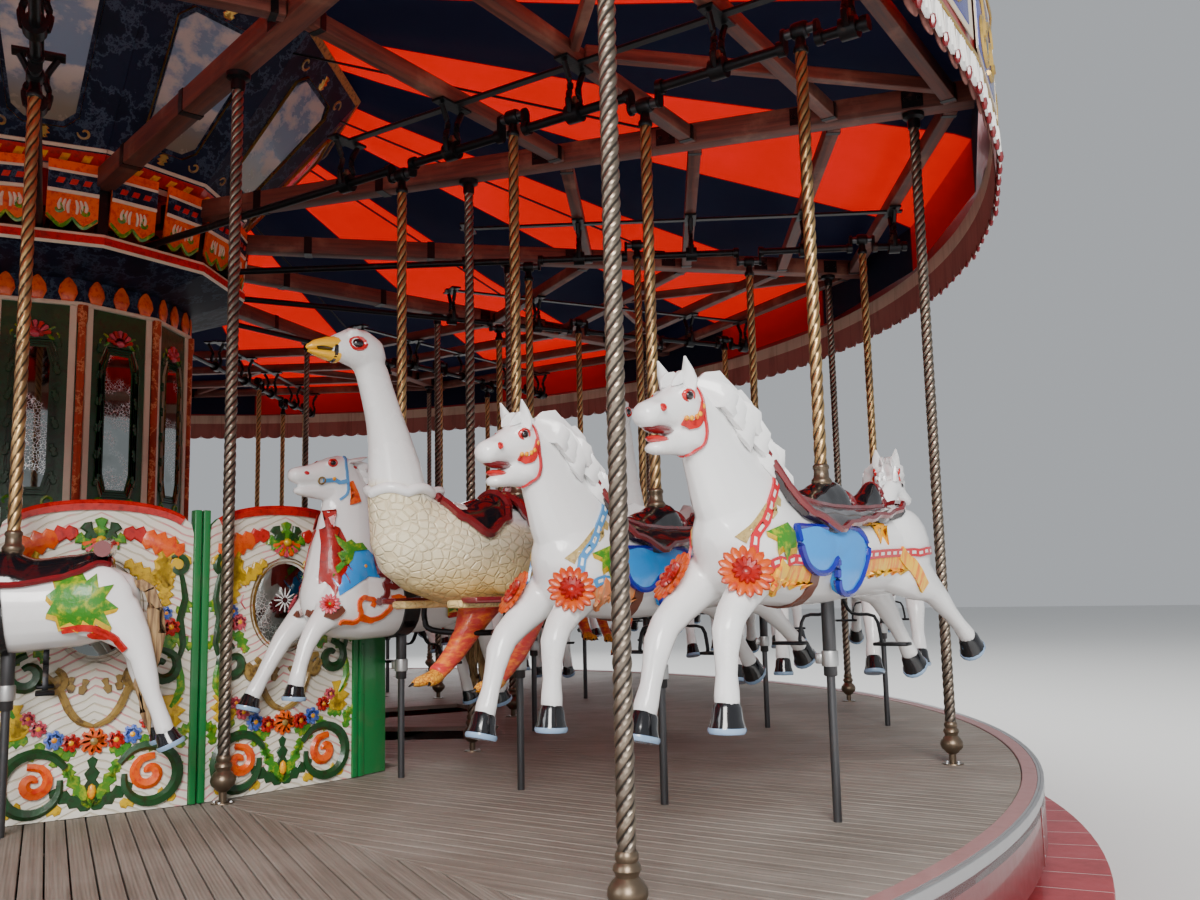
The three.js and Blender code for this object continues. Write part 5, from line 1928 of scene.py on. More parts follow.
tack = {
    "halter": [
        (0.79, 0.03, 1.42), (0.8, 0.07, 1.37), (0.79, 0.08, 1.3), (0.79, 0.07, 1.24), (0.81, 0.04, 1.2),
        (0.83, 0.005, 1.19),
    ],
    "cheek": [(0.8, 0.08, 1.345), (0.82, 0.08, 1.305), (0.85, 0.075, 1.278), (0.89, 0.065, 1.272)],
    "strapTop": [
        (-0.6, 0.92), (-0.26, 0.905), (0.0, 0.893), (0.25, 0.868), (0.4, 0.866), (0.63, 0.88), (0.78, 0.86),
    ],
    "fringes": ((0.66, 0.3, 0.072), (0.06, -0.34, 0.068)),
    "collar": [
        (0.69, 0.95), (0.51, 1.095), (0.475, 1.07), (0.495, 1.045), (0.51, 1.055), (0.525, 1.025),
        (0.545, 1.035), (0.555, 1.005), (0.58, 1.015), (0.59, 0.985), (0.61, 0.99), (0.625, 0.96),
        (0.645, 0.965), (0.66, 0.93),
    ],
    "collarStrap": [
        (0.44, 0.03, 1.2), (0.49, 0.11, 1.12), (0.56, 0.14, 1.04), (0.63, 0.14, 0.97), (0.7, 0.13, 0.89),
    ],
    "haunchDrop": [(-0.26, 0.25, 0.9), (-0.33, 0.22, 0.86), (-0.4, 0.2, 0.815), (-0.46, 0.18, 0.775)],
    "girth": [(0.36, 0.25, 0.87), (0.35, 0.22, 0.81), (0.33, 0.15, 0.75), (0.31, 0.05, 0.7), (0.305, 0, 0.7)],
    "tassel": [(0.54, 0.25, 0.87), (0.55, 0.25, 0.82), (0.565, 0.25, 0.76), (0.575, 0.24, 0.71)],
    "pad": [
        (0.465, 0.985), (0.462, 0.94), (0.442, 0.895), (0.41, 0.862), (0.36, 0.84), (0.31, 0.84),
        (0.275, 0.856), (0.248, 0.885), (0.236, 0.85), (0.232, 0.815), (0.215, 0.785), (0.175, 0.77),
        (0.125, 0.778), (0.075, 0.815), (0.04, 0.87), (0.025, 0.92), (0.04, 0.97), (0.09, 0.99), (0.27, 0.985),
    ],
    "leaf": [
        (0.6, 0.965), (0.56, 0.95), (0.575, 0.905), (0.545, 0.92), (0.53, 0.865), (0.5, 0.915), (0.475, 0.92),
        (0.47, 0.965), (0.5, 0.995),
    ],
    "star": [
        (-0.14, 1.06), (-0.126, 1.02), (-0.085, 1.012), (-0.116, 0.988), (-0.106, 0.94), (-0.138, 0.97),
        (-0.17, 0.938), (-0.16, 0.988), (-0.195, 1.01), (-0.156, 1.02),
    ],
}


def strapTop(x):
    return between(tack["strapTop"], x)


def fringeLine(x0, x1, drop):
    # the outline of a hanging band with a pointed lower edge
    n = max(2, round(abs(x1 - x0) / 0.03))
    line = [x0 + (x1 - x0) * k / (2 * n) for k in range(2 * n + 1)]
    deep = [0.62 if k % 2 == 0 else 1.0 if k % 4 == 3 else 0.82 for k in range(2 * n + 1)]
    deep[0] = deep[-1] = 0
    middle = (x0 + x1) / 2
    return [(x, strapTop(x) - 0.006 - drop * d) for x, d in zip(line, deep)] + [(middle, strapTop(middle) - 0.006)]


def hang(shape, skin, outline, side):
    # a stiff padded flap: it follows the flank above and hangs straight where the belly turns under
    def rest(x, z, out):
        spot, _, _, _ = skin.ray_cast((x, side, max(z, 0.9)), (0, -side, 0))
        return Vector((x, spot.y + side * (out - 0.12 * max(0.0, 0.9 - z)), z))

    part, _ = patch(outline, 0.03)
    bmesh.ops.triangulate(part, faces=part.faces[:])
    bmesh.ops.subdivide_edges(part, edges=[e for e in part.edges if e.calc_length() > 0.07], cuts=1)
    corners = [Vector(q) for q in outline]
    for v in part.verts:
        deep = min((Vector((v.co.x, v.co.z)) - q).length for q in corners)
        v.co = rest(v.co.x, v.co.z, 0.014 + 0.014 * min(deep / 0.06, 1.0))
    faceOut(part, side)
    back = bmesh.ops.extrude_edge_only(part, edges=[e for e in part.edges if e.is_boundary])["geom"]
    bmesh.ops.translate(part, vec=(0, -side * 0.03, 0), verts=newVerts(back))
    lay(shape, part, [skyBlue])
    ring = bent([rest(x, z, 0.012) for x, z in outline + outline[:1]], 3)
    shape.add(along(ring, (0.011, 0.014), 6), deepBlue)


stud = Shape().add(ball(0.009, (1, 1, 0.6), (0, 0, 0), 8, 5), yellow).mesh("stud", local=False)
nostril = [(0.0055, 0.004), (0.0095, 0.006), (0.0125, 0.002), (0.012, -0.004)]


def mane(horse, side):
    # two staggered rows of locks down the crest, and the forelock
    for k in range(9):
        t = k / 8
        x, z = 0.715 - 0.31 * t, 1.405 - 0.03 * t - 0.235 * t * t
        sway = 0.034 * math.sin(k * 2.1 + side)
        low = [
            (0.05, 0.01, 0.01), (0.01, 0.05, -0.02), (-0.015, 0.085 + 0.02 * t, sway - 0.075),
            (-0.05 - 0.02 * (k % 2), 0.075 + 0.03 * t, sway - 0.14),
        ]
        high = [
            (0.03, 0.006, 0.006), (-0.02, 0.03, 0.008 + sway / 2), (-0.06, 0.045, -0.04), (-0.1, 0.04, -0.1 - sway),
        ]
        for line, width in ((low, 0.046), (high, 0.042)):
            lock(horse, [(x + u, side * v, z + w) for u, v, w in line], width, coat)
    forelock = [(0.82, 0.008, 1.408), (0.85, 0.018, 1.425), (0.88, 0.026, 1.412), (0.905, 0.02, 1.39)]
    lock(horse, flank(forelock, side), 0.022, coat)


def bridle(horse, skin, trim, side):
    strap(horse, skin, flank(tack["halter"], side), 0.013, trim["bridle"], 0.007)
    strap(horse, skin, flank(tack["cheek"], side), 0.024, trim["cheek"])
    for k in range(5):
        t = k / 4
        pinned(horse, skin, stud, (0.805 + 0.085 * t, side * 0.09, 1.335 - 0.064 * t**0.55), 0.006)


def harness(horse, skin, trim, side):
    for x0, x1, drop in tack["fringes"]:
        draped(horse, skin, fringeLine(x0, x1, drop), side, 0.004, trim["fringe"], cell=0.06)
    draped(horse, skin, tack["collar"], side, 0.004, lace, cell=0.05)
    strap(horse, skin, flank(tack["collarStrap"], side), 0.03, trim["strap"])
    line = [(x, 0.25, strapTop(x)) for x in (0.74, 0.6, 0.45, 0.3, 0.1, -0.1, -0.3, -0.46)]
    strap(horse, skin, flank([*line, (-0.6, 0.12, 0.93), (-0.68, 0.02, 0.935)], side), 0.03, trim["strap"])
    strap(horse, skin, flank(tack["haunchDrop"], side), 0.05, trim["fringe"], 0.009)
    strap(horse, skin, flank(tack["girth"], side), 0.045, brownLeather, 0.007)
    strap(horse, skin, flank(tack["tassel"], side), 0.05, trim["fringe"], 0.012)
    hang(horse, skin, tack["pad"], side)
    draped(horse, skin, tack["leaf"], side, 0.009, leafGreen, 0.006, leafYellow, 0.01, 0.04)
    draped(horse, skin, tack["star"], side, 0.006, yellow, crown=0.006, cell=0.06)
    breastRosette(horse, skin, (0.75, side * 0.16, 0.87), trim["flower"], (0.25, side * 0.2, 0))


def bigHorse(trim):
    # the carved galloper with its trappings, in local coordinates
    horse, skin = clothed(gallopClay.copy(), coat)
    hooves(horse, galloper, galloper["tilts"], 0.05, 0.072)
    for side in (-1, 1):
        mane(horse, side)
        ear(horse, (0.845, side * 0.04, 1.38), (0.878, side * 0.05, 1.478), 0.027)
        eye(horse, skin, (0.872, side * 0.09, 1.347), 0.017)
        nose = (0.985, side * 0.08, 1.316)
        spot, normal, _, _ = skin.find_nearest(nose)
        horse.add(lathe(nostril, 10), mouthRed, facing(spot - normal * 0.001, normal))
        dab(horse, skin, nose, 0.007, (1, 1, 0.4), strapRed, 8)
    horse.add(lump((0.05, 0.028, 0.012), (0.955, 0, 1.228), 12, 6), mouthRed)
    horse.add(lump((0.07, 0.03, 0.014), (0.95, 0, 1.258), 12, 6), maroon)
    for fit in (bridle, harness):
        for side in (-1, 1):
            fit(horse, skin, trim, side)
    # the skirt takes the lighter black that carries the painted reflection
    wrap(horse, skin, saddlePlan, black, skirtPaintedReflection, maroon)
    toyHead(horse)
    print("galloper", horse.triangles(), "triangles")
    return horse.mesh("galloper", 50)


gallopClay = horseClay(galloper, 0.0085, 6600, 4)
trimBoth = {"bridle": strapRed, "cheek": redCarved, "flower": rosette(0.088, hotOrange, hotRed, hotRed)}
outerHorse = bigHorse({**trimBoth, "strap": redStrap, "fringe": yellowFringe})
middleHorse = bigHorse({**trimBoth, "strap": blueStrap, "fringe": brownFringe})


pony = {
    "barrel": [
        (-0.425, 0.8, 0.02, 0.03), (-0.4, 0.8, 0.07, 0.09), (-0.33, 0.797, 0.115, 0.13),
        (-0.22, 0.79, 0.135, 0.15), (-0.05, 0.785, 0.132, 0.158), (0.1, 0.785, 0.136, 0.17),
        (0.25, 0.79, 0.136, 0.18), (0.36, 0.8, 0.122, 0.175), (0.45, 0.81, 0.092, 0.14),
        (0.505, 0.815, 0.045, 0.085), (0.518, 0.817, 0.02, 0.04),
    ],
    "neck": [
        (0.315, 0.88, 0.115, 0.19), (0.31, 0.98, 0.1, 0.17), (0.3, 1.08, 0.083, 0.15),
        (0.295, 1.18, 0.07, 0.132), (0.305, 1.27, 0.058, 0.108), (0.32, 1.34, 0.045, 0.075),
        (0.325, 1.365, 0.025, 0.04),
    ],
    "face": [
        (0.275, 1.335, 0.03, 0.04), (0.3, 1.333, 0.048, 0.064), (0.345, 1.328, 0.055, 0.076),
        (0.4, 1.322, 0.052, 0.068), (0.455, 1.315, 0.044, 0.052), (0.51, 1.308, 0.038, 0.04),
        (0.555, 1.304, 0.037, 0.036), (0.585, 1.303, 0.03, 0.027), (0.596, 1.303, 0.012, 0.01),
    ],
    "jaw": [
        (0.3, 1.285, 0.035, 0.05), (0.335, 1.265, 0.042, 0.058), (0.385, 1.25, 0.038, 0.048),
        (0.44, 1.242, 0.033, 0.036), (0.49, 1.238, 0.03, 0.026), (0.535, 1.238, 0.028, 0.02),
        (0.56, 1.24, 0.022, 0.014), (0.57, 1.241, 0.01, 0.006),
    ],
    "near": [
        (0.33, 0.07, 0.8, 0.06, 0.11), (0.42, 0.08, 0.75, 0.056, 0.085), (0.48, 0.088, 0.705, 0.047, 0.056),
        (0.53, 0.09, 0.662, 0.04, 0.043), (0.565, 0.09, 0.6, 0.033, 0.035), (0.588, 0.09, 0.535, 0.029, 0.03),
        (0.603, 0.09, 0.482, 0.032, 0.033), (0.613, 0.09, 0.444, 0.033, 0.034),
    ],
    "off": [
        (0.33, -0.07, 0.8, 0.06, 0.11), (0.43, -0.08, 0.735, 0.056, 0.08), (0.5, -0.088, 0.68, 0.046, 0.054),
        (0.553, -0.09, 0.627, 0.04, 0.043), (0.6, -0.09, 0.555, 0.033, 0.035),
        (0.648, -0.09, 0.48, 0.029, 0.03), (0.678, -0.09, 0.432, 0.032, 0.033),
        (0.696, -0.09, 0.402, 0.033, 0.034),
    ],
    "nearHind": [
        (-0.26, 0.065, 0.79, 0.07, 0.12), (-0.36, 0.08, 0.735, 0.062, 0.095),
        (-0.41, 0.086, 0.665, 0.047, 0.062), (-0.44, 0.088, 0.6, 0.037, 0.044),
        (-0.455, 0.09, 0.54, 0.036, 0.04), (-0.475, 0.09, 0.47, 0.029, 0.031),
        (-0.5, 0.09, 0.405, 0.028, 0.029), (-0.516, 0.09, 0.36, 0.031, 0.032),
        (-0.526, 0.09, 0.33, 0.031, 0.032),
    ],
    "offHind": [
        (-0.26, -0.065, 0.79, 0.07, 0.12), (-0.35, -0.08, 0.735, 0.062, 0.095),
        (-0.395, -0.086, 0.665, 0.047, 0.062), (-0.415, -0.088, 0.6, 0.037, 0.044),
        (-0.425, -0.09, 0.545, 0.036, 0.04), (-0.445, -0.09, 0.475, 0.029, 0.031),
        (-0.468, -0.09, 0.41, 0.028, 0.029), (-0.484, -0.09, 0.365, 0.031, 0.032),
        (-0.494, -0.09, 0.335, 0.031, 0.032),
    ],
    "tilts": ((0.1, 0, -1), (0.3, 0, -1), (-0.4, 0, -0.9), (-0.4, 0, -0.9)),
    "swells": [  # shoulder, haunch, cheek, brow
        ((0.11, 0.045, 0.12), (0.36, 0.1, 0.8), 14, 8), ((0.13, 0.05, 0.13), (-0.28, 0.095, 0.8), 14, 8),
        ((0.045, 0.016, 0.045), (0.34, 0.04, 1.275), 12, 8), ((0.028, 0.013, 0.014), (0.41, 0.044, 1.368), 10, 6),
    ],
    "halter": [(0.33, 0.02, 1.41), (0.345, 0.07, 1.36), (0.34, 0.08, 1.3), (0.345, 0.07, 1.24), (0.36, 0.005, 1.2)],
    "cheek": [(0.345, 0.08, 1.29), (0.4, 0.07, 1.28), (0.455, 0.06, 1.275)],
    "girth": [(0.06, 0.16, 0.9), (0.05, 0.18, 0.8), (0.04, 0.14, 0.68), (0.035, 0.06, 0.625), (0.035, 0, 0.615)],
    "breast": [(0.52, 0.02, 0.735), (0.49, 0.08, 0.715), (0.45, 0.12, 0.725), (0.42, 0.14, 0.75)],
    "drapes": [  # lift, finish, crown, cell, outline
        (0.012, orange, 0, 0.05, [
            (0.335, 1.285), (0.318, 1.29), (0.295, 1.235), (0.285, 1.2), (0.315, 1.19), (0.335, 1.185),
            (0.33, 1.23),
        ]),
        (0.006, hotRed, 0.008, 0.04, [
            (0.43, 1.175), (0.416, 1.1), (0.388, 1.085), (0.406, 1.045), (0.368, 1.03), (0.396, 0.99),
            (0.353, 0.965), (0.39, 0.94), (0.36, 0.895), (0.406, 0.89), (0.388, 0.845), (0.428, 0.85),
            (0.448, 0.8), (0.463, 0.86), (0.483, 0.85), (0.473, 0.94), (0.458, 1.02), (0.446, 1.1),
        ]),
        (0.006, skyBlue, 0.008, 0.04, [
            (0.345, 0.998), (0.261, 0.993), (0.222, 0.962), (0.216, 0.872), (0.274, 0.878), (0.345, 0.852),
            (0.435, 0.801), (0.444, 0.87), (0.38, 0.92),
        ]),
        (0.014, leafGreen, 0.006, 0.05, [
            (0.412, 1.055), (0.375, 1.022), (0.35, 1.035), (0.33, 1.018), (0.3, 1.022), (0.272, 0.993),
            (0.34, 0.985), (0.352, 0.95), (0.39, 0.915), (0.44, 0.875), (0.425, 0.92), (0.395, 0.945),
            (0.412, 0.975), (0.385, 0.99), (0.405, 1.015),
        ]),
    ],
    "scrolls": [  # width, thickness, finish, lines
        (0.02, 0.01, orange, [
            [(0.33, 0.72), (0.335, 0.77), (0.3, 0.79), (0.268, 0.77), (0.275, 0.745)],
            [(0.33, 0.73), (0.305, 0.69), (0.27, 0.668), (0.21, 0.68), (0.17, 0.735), (0.16, 0.79)],
            [(0.41, 0.65), (0.36, 0.64), (0.3, 0.655), (0.25, 0.665)],
            [(0.165, 0.79), (0.13, 0.8), (0.1, 0.78), (0.105, 0.745), (0.14, 0.74)],
        ]),
        (0.024, 0.012, maroon, [
            [(0.17, 0.9), (0.2, 0.865), (0.19, 0.82), (0.215, 0.78), (0.235, 0.76), (0.25, 0.775)],
            [(0.185, 0.85), (0.15, 0.84), (0.125, 0.86), (0.13, 0.885), (0.15, 0.88)],
        ]),
        (0.024, 0.01, redCarved, [
            [(-0.18, 0.66), (-0.24, 0.69), (-0.3, 0.675), (-0.335, 0.63), (-0.345, 0.59)],
            [(-0.29, 0.67), (-0.3, 0.635), (-0.275, 0.625), (-0.265, 0.645)],
        ]),
    ],
    "acanthus": [
        (0.0, 0.13), (0.022, 0.1), (0.05, 0.105), (0.05, 0.07), (0.085, 0.06), (0.075, 0.03), (0.105, 0.005),
        (0.08, -0.015), (0.085, -0.05), (0.05, -0.05), (0.03, -0.08), (0.012, -0.06), (-0.01, -0.1),
        (-0.025, -0.07), (-0.06, -0.12), (-0.055, -0.06), (-0.1, -0.07), (-0.075, -0.02), (-0.115, 0.01),
        (-0.07, 0.02), (-0.08, 0.065), (-0.045, 0.055), (-0.04, 0.1), (-0.018, 0.09),
    ],
}
plainSaddle = {"scallop": 0.0, "flare": 0.0, "thick": 0.012, "edge": 1.0, "cantles": []}
ponySaddle = {
    **plainSaddle, "front": 0.22, "rear": -0.32, "axis": 0.78, "across": 24, "round": 22, "roll": 0.012,
    "spread": [(-0.32, 0.55), (-0.22, 0.8), (0.0, 1.0), (0.12, 1.0), (0.22, 0.85)],
    "seat": [
        (-0.32, 0.03), (-0.27, 0.05), (-0.2, 0.03), (-0.08, 0.015), (0.0, 0.04), (0.1, 0.03), (0.18, 0.055),
        (0.22, 0.03),
    ],
}


def haunchLeaf():
    # the acanthus outline, turned and carried to the haunch
    c, s = 1.05 * math.cos(-0.4), 1.05 * math.sin(-0.4)
    return [(u * c - v * s - 0.235, u * s + v * c + 0.8) for u, v in pony["acanthus"]]


def ribbedMane(horse):
    for k in range(12):
        t = k / 11
        x, z = 0.262 - 0.12 * t, 1.36 - 0.34 * t
        rib = [
            (x + 0.02, 0.01, z + 0.01), (x - 0.015, 0.035 + 0.03 * t, z + 0.002),
            (x - 0.035, 0.045 + 0.045 * t, z - 0.012), (x - 0.012, 0.062 + 0.05 * t, z - 0.02),
        ]
        for side in (-1, 1):
            lock(horse, flank(rib, side), 0.02, coat, 5)
        horse.add(lump((0.034, 0.03, 0.019), (x - 0.016, 0, z), 10, 6), coat)


def ponySide(horse, skin, side):
    # what one side of the small horse carries, from the head to the haunch
    ear(horse, (0.325, side * 0.04, 1.375), (0.235, side * 0.058, 1.4), 0.02)
    eye(horse, skin, (0.408, side * 0.09, 1.352), 0.014)
    dab(horse, skin, (0.535, side * 0.08, 1.322), 0.011, (1.2, 0.8, 0.4), strapRed)
    dab(horse, skin, (0.265, side * 0.09, 1.385), 0.011, (1.5, 0.7, 0.4), mouthRed, 8)
    strap(horse, skin, flank(pony["halter"], side), 0.011, strapBlue, 0.007)
    strap(horse, skin, flank(pony["cheek"], side), 0.018, strapBlue, 0.007)
    pinned(horse, skin, bitRing, (0.465, side * 0.08, 1.262), 0.006)
    pinned(horse, skin, stud, (0.41, side * 0.08, 1.28), 0.005)
    for lift, finish, crown, cell, outline in pony["drapes"]:
        draped(horse, skin, outline, side, lift, finish, crown=crown, cell=cell)
    pinned(horse, skin, stud, (0.28, side * 0.2, 0.936), 0.012)
    for width, thick, finish, lines in pony["scrolls"]:
        for line in lines:
            strap(horse, skin, [(x, side * 0.2, z) for x, z in line], width, finish, thick)
    strap(horse, skin, flank(pony["girth"], side), 0.085, black, 0.01, 5)
    draped(horse, skin, haunchLeaf(), side, 0.006, leafGreen, 0.008, leafYellow, 0.01, 0.05)
    breastRosette(horse, skin, (0.475, side * 0.12, 0.765), breastFlower, (0.2, 0, 0))
    strap(horse, skin, flank(pony["breast"], side), 0.026, brownLeather, 0.012)


def smallHorse():
    horse, skin = clothed(horseClay(pony, 0.0075, 4800, 2), coat)
    hooves(horse, pony, pony["tilts"], 0.041, 0.05)
    ribbedMane(horse)
    for side in (-1, 1):
        ponySide(horse, skin, side)
    wrap(horse, skin, ponySaddle, black, black, maroon)
    horse.add(along([(-0.3, -0.12, 0.985), (-0.31, 0, 1.0), (-0.3, 0.12, 0.985)], 0.03, 12), maroon)
    for k in range(9):  # hair tail
        y = 0.02 * math.cos(k * 2.4)
        hair = [
            (-0.4, y, 0.86), (-0.455, y * 1.6, 0.84), (-0.475 - 0.01 * (k % 3), y * 2, 0.68),
            (-0.46 + 0.012 * (k % 4), y * 2.2, 0.5), (-0.47, y * 1.5, 0.32 + 0.02 * (k % 3)),
        ]
        lock(horse, hair, 0.024, strawHair)
    print("small horse", horse.triangles(), "triangles")
    return horse.mesh("smallHorse", 50)


bit = lathe([(0.012, -0.003), (0.018, -0.003), (0.018, 0.003), (0.012, 0.003), (0.012, -0.003)], 12)
bitRing = Shape().add(bit, goldBrown).mesh("bitRing", local=False)
breastFlower = rosette(0.045, pink, redCarved, leafGreen, 10)
innerHorse = smallHorse()


bird = {
    "body": [
        (-0.62, 1.06, 0.03, 0.04), (-0.55, 1.04, 0.1, 0.1), (-0.42, 1.0, 0.16, 0.17), (-0.2, 0.97, 0.19, 0.2),
        (0.0, 0.955, 0.2, 0.205), (0.2, 0.95, 0.205, 0.2), (0.38, 0.957, 0.196, 0.2), (0.52, 0.99, 0.168, 0.19),
        (0.62, 1.03, 0.128, 0.17), (0.7, 1.07, 0.075, 0.11), (0.73, 1.08, 0.03, 0.05),
    ],
    "neck": [
        (0.56, 1.0, 0.15, 0.17), (0.61, 1.08, 0.125, 0.148), (0.645, 1.17, 0.103, 0.12),
        (0.66, 1.28, 0.088, 0.106), (0.683, 1.38, 0.073, 0.086), (0.708, 1.46, 0.063, 0.074),
        (0.74, 1.55, 0.056, 0.068), (0.765, 1.62, 0.053, 0.066), (0.795, 1.67, 0.047, 0.058),
    ],
    "head": [
        (0.735, 1.655, 0.03, 0.045), (0.77, 1.685, 0.052, 0.072), (0.82, 1.703, 0.06, 0.078),
        (0.87, 1.707, 0.058, 0.072), (0.91, 1.698, 0.047, 0.055), (0.95, 1.69, 0.038, 0.044),
        (0.965, 1.688, 0.028, 0.032),
    ],
    "near": [
        (-0.06, 0.09, 0.86, 0.085, 0.11), (0.0, 0.1, 0.785, 0.078, 0.09), (0.045, 0.105, 0.705, 0.062, 0.07),
        (0.07, 0.105, 0.63, 0.045, 0.05), (0.12, 0.105, 0.555, 0.036, 0.04), (0.19, 0.105, 0.495, 0.033, 0.036),
        (0.235, 0.105, 0.463, 0.036, 0.034),
    ],
    "off": [
        (0.03, -0.09, 0.86, 0.085, 0.11), (0.1, -0.097, 0.79, 0.08, 0.095), (0.16, -0.1, 0.715, 0.068, 0.078),
        (0.205, -0.1, 0.64, 0.05, 0.055), (0.265, -0.1, 0.57, 0.04, 0.044), (0.33, -0.1, 0.512, 0.035, 0.037),
        (0.37, -0.1, 0.487, 0.037, 0.035),
    ],
    "upperBeak": [
        (0.93, 1.706, 0.04, 0.032), (0.975, 1.702, 0.036, 0.026), (1.02, 1.692, 0.027, 0.018),
        (1.05, 1.68, 0.012, 0.009), (1.056, 1.677, 0.004, 0.004),
    ],
    "lowerBeak": [
        (0.93, 1.662, 0.036, 0.024), (0.975, 1.662, 0.031, 0.019), (1.015, 1.664, 0.023, 0.012),
        (1.045, 1.667, 0.009, 0.006),
    ],
    "toes": ((0.0, 1.0), (0.5, 0.72), (-0.5, 0.6)),  # turn and size
    "toe": [
        (0, 0, 0.032, 0.03), (0.05, -0.012, 0.027, 0.025), (0.1, -0.02, 0.022, 0.02), (0.125, -0.026, 0.01, 0.01),
    ],
    "claw": [(0.11, -0.02, 0.012, 0.011), (0.145, -0.034, 0.003, 0.003)],
    "bracket": [(0.31, 0.235, 0.76), (0.31, 0.235, 0.7), (0.3, 0.2, 0.655), (0.2, 0.06, 0.64), (0.0, 0.01, 0.64)],
}
birdSeat = {**plainSaddle, "axis": 0.96, "across": 22, "round": 26, "roll": 0.018}
birdSaddle = {
    **birdSeat, "front": 0.51, "rear": 0.15,
    "spread": [(0.15, 0.5), (0.24, 0.95), (0.36, 1.25), (0.45, 0.9), (0.51, 0.45)],
    "seat": [(0.15, 0.055), (0.22, 0.03), (0.34, 0.0), (0.46, -0.01), (0.51, 0.01)],
}
birdPillion = {
    **birdSeat, "front": 0.12, "rear": -0.34,
    "spread": [(-0.34, 0.6), (-0.22, 1.2), (-0.05, 1.5), (0.06, 1.45), (0.12, 1.1)],
    "seat": [(-0.34, 0.07), (-0.27, 0.03), (-0.15, 0.01), (0.0, 0.02), (0.08, 0.05), (0.12, 0.05)],
}


def birdToes(made, ankle):
    # three toes with their claws at the end of a leg
    x, y, z = ankle
    for turn, size in bird["toes"]:
        m = shift(x - 0.01, y, z - 0.004) @ turnZ(turn)
        for line, sides, finish in ((bird["toe"], 10, orangeFoot), (bird["claw"], 6, pupil)):
            made.add(midline([(u * size, v, w, h) for u, v, w, h in line], sides), finish, m)


def ostrich():
    lumps = [midline(bird["body"], 22), midline(bird["neck"]), midline(bird["head"])]
    for side in (-1, 1):
        lumps.append(lump((0.3, 0.07, 0.16), (0.1, side * 0.15, 0.93), 18, 10))
        lumps.append(lump((0.035, 0.014, 0.016), (0.875, side * 0.045, 1.752), 10, 6))
    made, skin = clothed(carve(lumps, 0.0095, 5200, 2), featherCoat)
    legs, _ = clothed(carve([limb(bird["near"]), limb(bird["off"])], 0.009, 1800, 1), redPlumes)
    made.take(legs.asIs("legs"))
    for beak in ("upperBeak", "lowerBeak"):
        made.add(midline(bird[beak], 14), beakYellow)
    made.add(lump((0.055, 0.034, 0.009), (0.985, 0, 1.683), 12, 6), pupil)
    made.add(midline([(0.945, 1.683, 0.04, 0.047), (0.957, 1.683, 0.0395, 0.046)], 14), black)
    for side, leg in ((-1, "off"), (1, "near")):
        eye(made, skin, (0.884, side * 0.1, 1.716), 0.022)
        birdToes(made, bird[leg][-1][:3])
    frill = []
    for k in range(41):  # ruff where the neck feathers end
        a = math.tau * k / 40
        out = Vector((math.cos(a), math.sin(a), 0))
        spot, normal, _, _ = skin.ray_cast(Vector((0.645, 0, 1.165)) + out * 0.4, -out)
        frill.append(spot + normal * 0.004 + Vector((0, 0, 0.016 * abs(math.sin(2.5 * a)) + 0.01)))
    made.add(along(frill, (0.02, 0.014), 8), coat)
    for k in range(13):  # tail plumes
        y, row = math.sin((k / 12 - 0.5) * 1.9), k % 2
        plume = [
            (-0.52, y * 0.08, 1.06), (-0.6, y * 0.13, 1.12 + 0.02 * row), (-0.69, y * 0.17, 1.12 + 0.03 * row),
            (-0.75, y * 0.19, 1.04 + 0.02 * row),
        ]
        lock(made, plume, 0.045, featherCoat)
    for plan in (birdSaddle, birdPillion):
        wrap(made, skin, plan, black, black, maroon)
    for side in (-1, 1):  # running boards with their brackets, and the cream sill they are fixed to
        board, sill = sorted((side * 0.19, side * 0.275)), sorted((side * 0.12, side * 0.2))
        made.add(block(0.08, 0.5, *board, 0.762, 0.786, 0.006, 2), maroon)
        made.add(block(0.07, 0.51, *sill, 0.745, 0.775, 0.01, 2), featherCoat)
        made.add(along(bent(flank(bird["bracket"], side), 4), 0.012, 8), blackIron)
    print("ostrich", made.triangles(), "triangles")
    return made.mesh("ostrich", 50)


carvedBird = ostrich()


throw = {
    "axis": 2.81, "half": 0.074, "web": 0.015, "cheek": 0.025,
    "pin": [(0, -0.062), (0.019, -0.062), (0.019, 0.062), (0, 0.062)],
    "eye": [
        (0, -0.03), (0.028, -0.03), (0.031, -0.026), (0.033, -0.018), (0.033, 0.018), (0.031, 0.026),
        (0.028, 0.03), (0, 0.03),
    ],
}
rodPlan = {
    "low": -0.19, "brass": 0.0235,
    "slide": [(0, 0), (0.011, 0), (0.0135, 0.006), (0.015, 0.02)],
    "sleeve": [(0, -0.012), (0.02, -0.012), (0.0235, -0.008)],
    "clamp": [(0.0225, 0.02), (0.0285, 0.022), (0.0295, 0.028), (0.0295, 0.068), (0.0285, 0.074), (0.0225, 0.076)],
    "bolt": [(0, 0.008), (0.006, 0.007), (0.007, 0)],
    "bell": [
        (0, -0.02), (0.052, -0.02), (0.054, -0.006), (0.049, 0.004), (0.04, 0.01), (0.036, 0.022),
        (0.041, 0.03), (0.043, 0.04), (0.038, 0.048), (0.032, 0.054), (0.03, 0.08), (0.034, 0.088),
        (0.033, 0.096), (0.026, 0.102), (0, 0.102),
    ],
    "neck": [
        (0, -0.09), (0.026, -0.09), (0.029, -0.084), (0.029, -0.07), (0.022, -0.062), (0.018, -0.03), (0, -0.03),
    ],
}


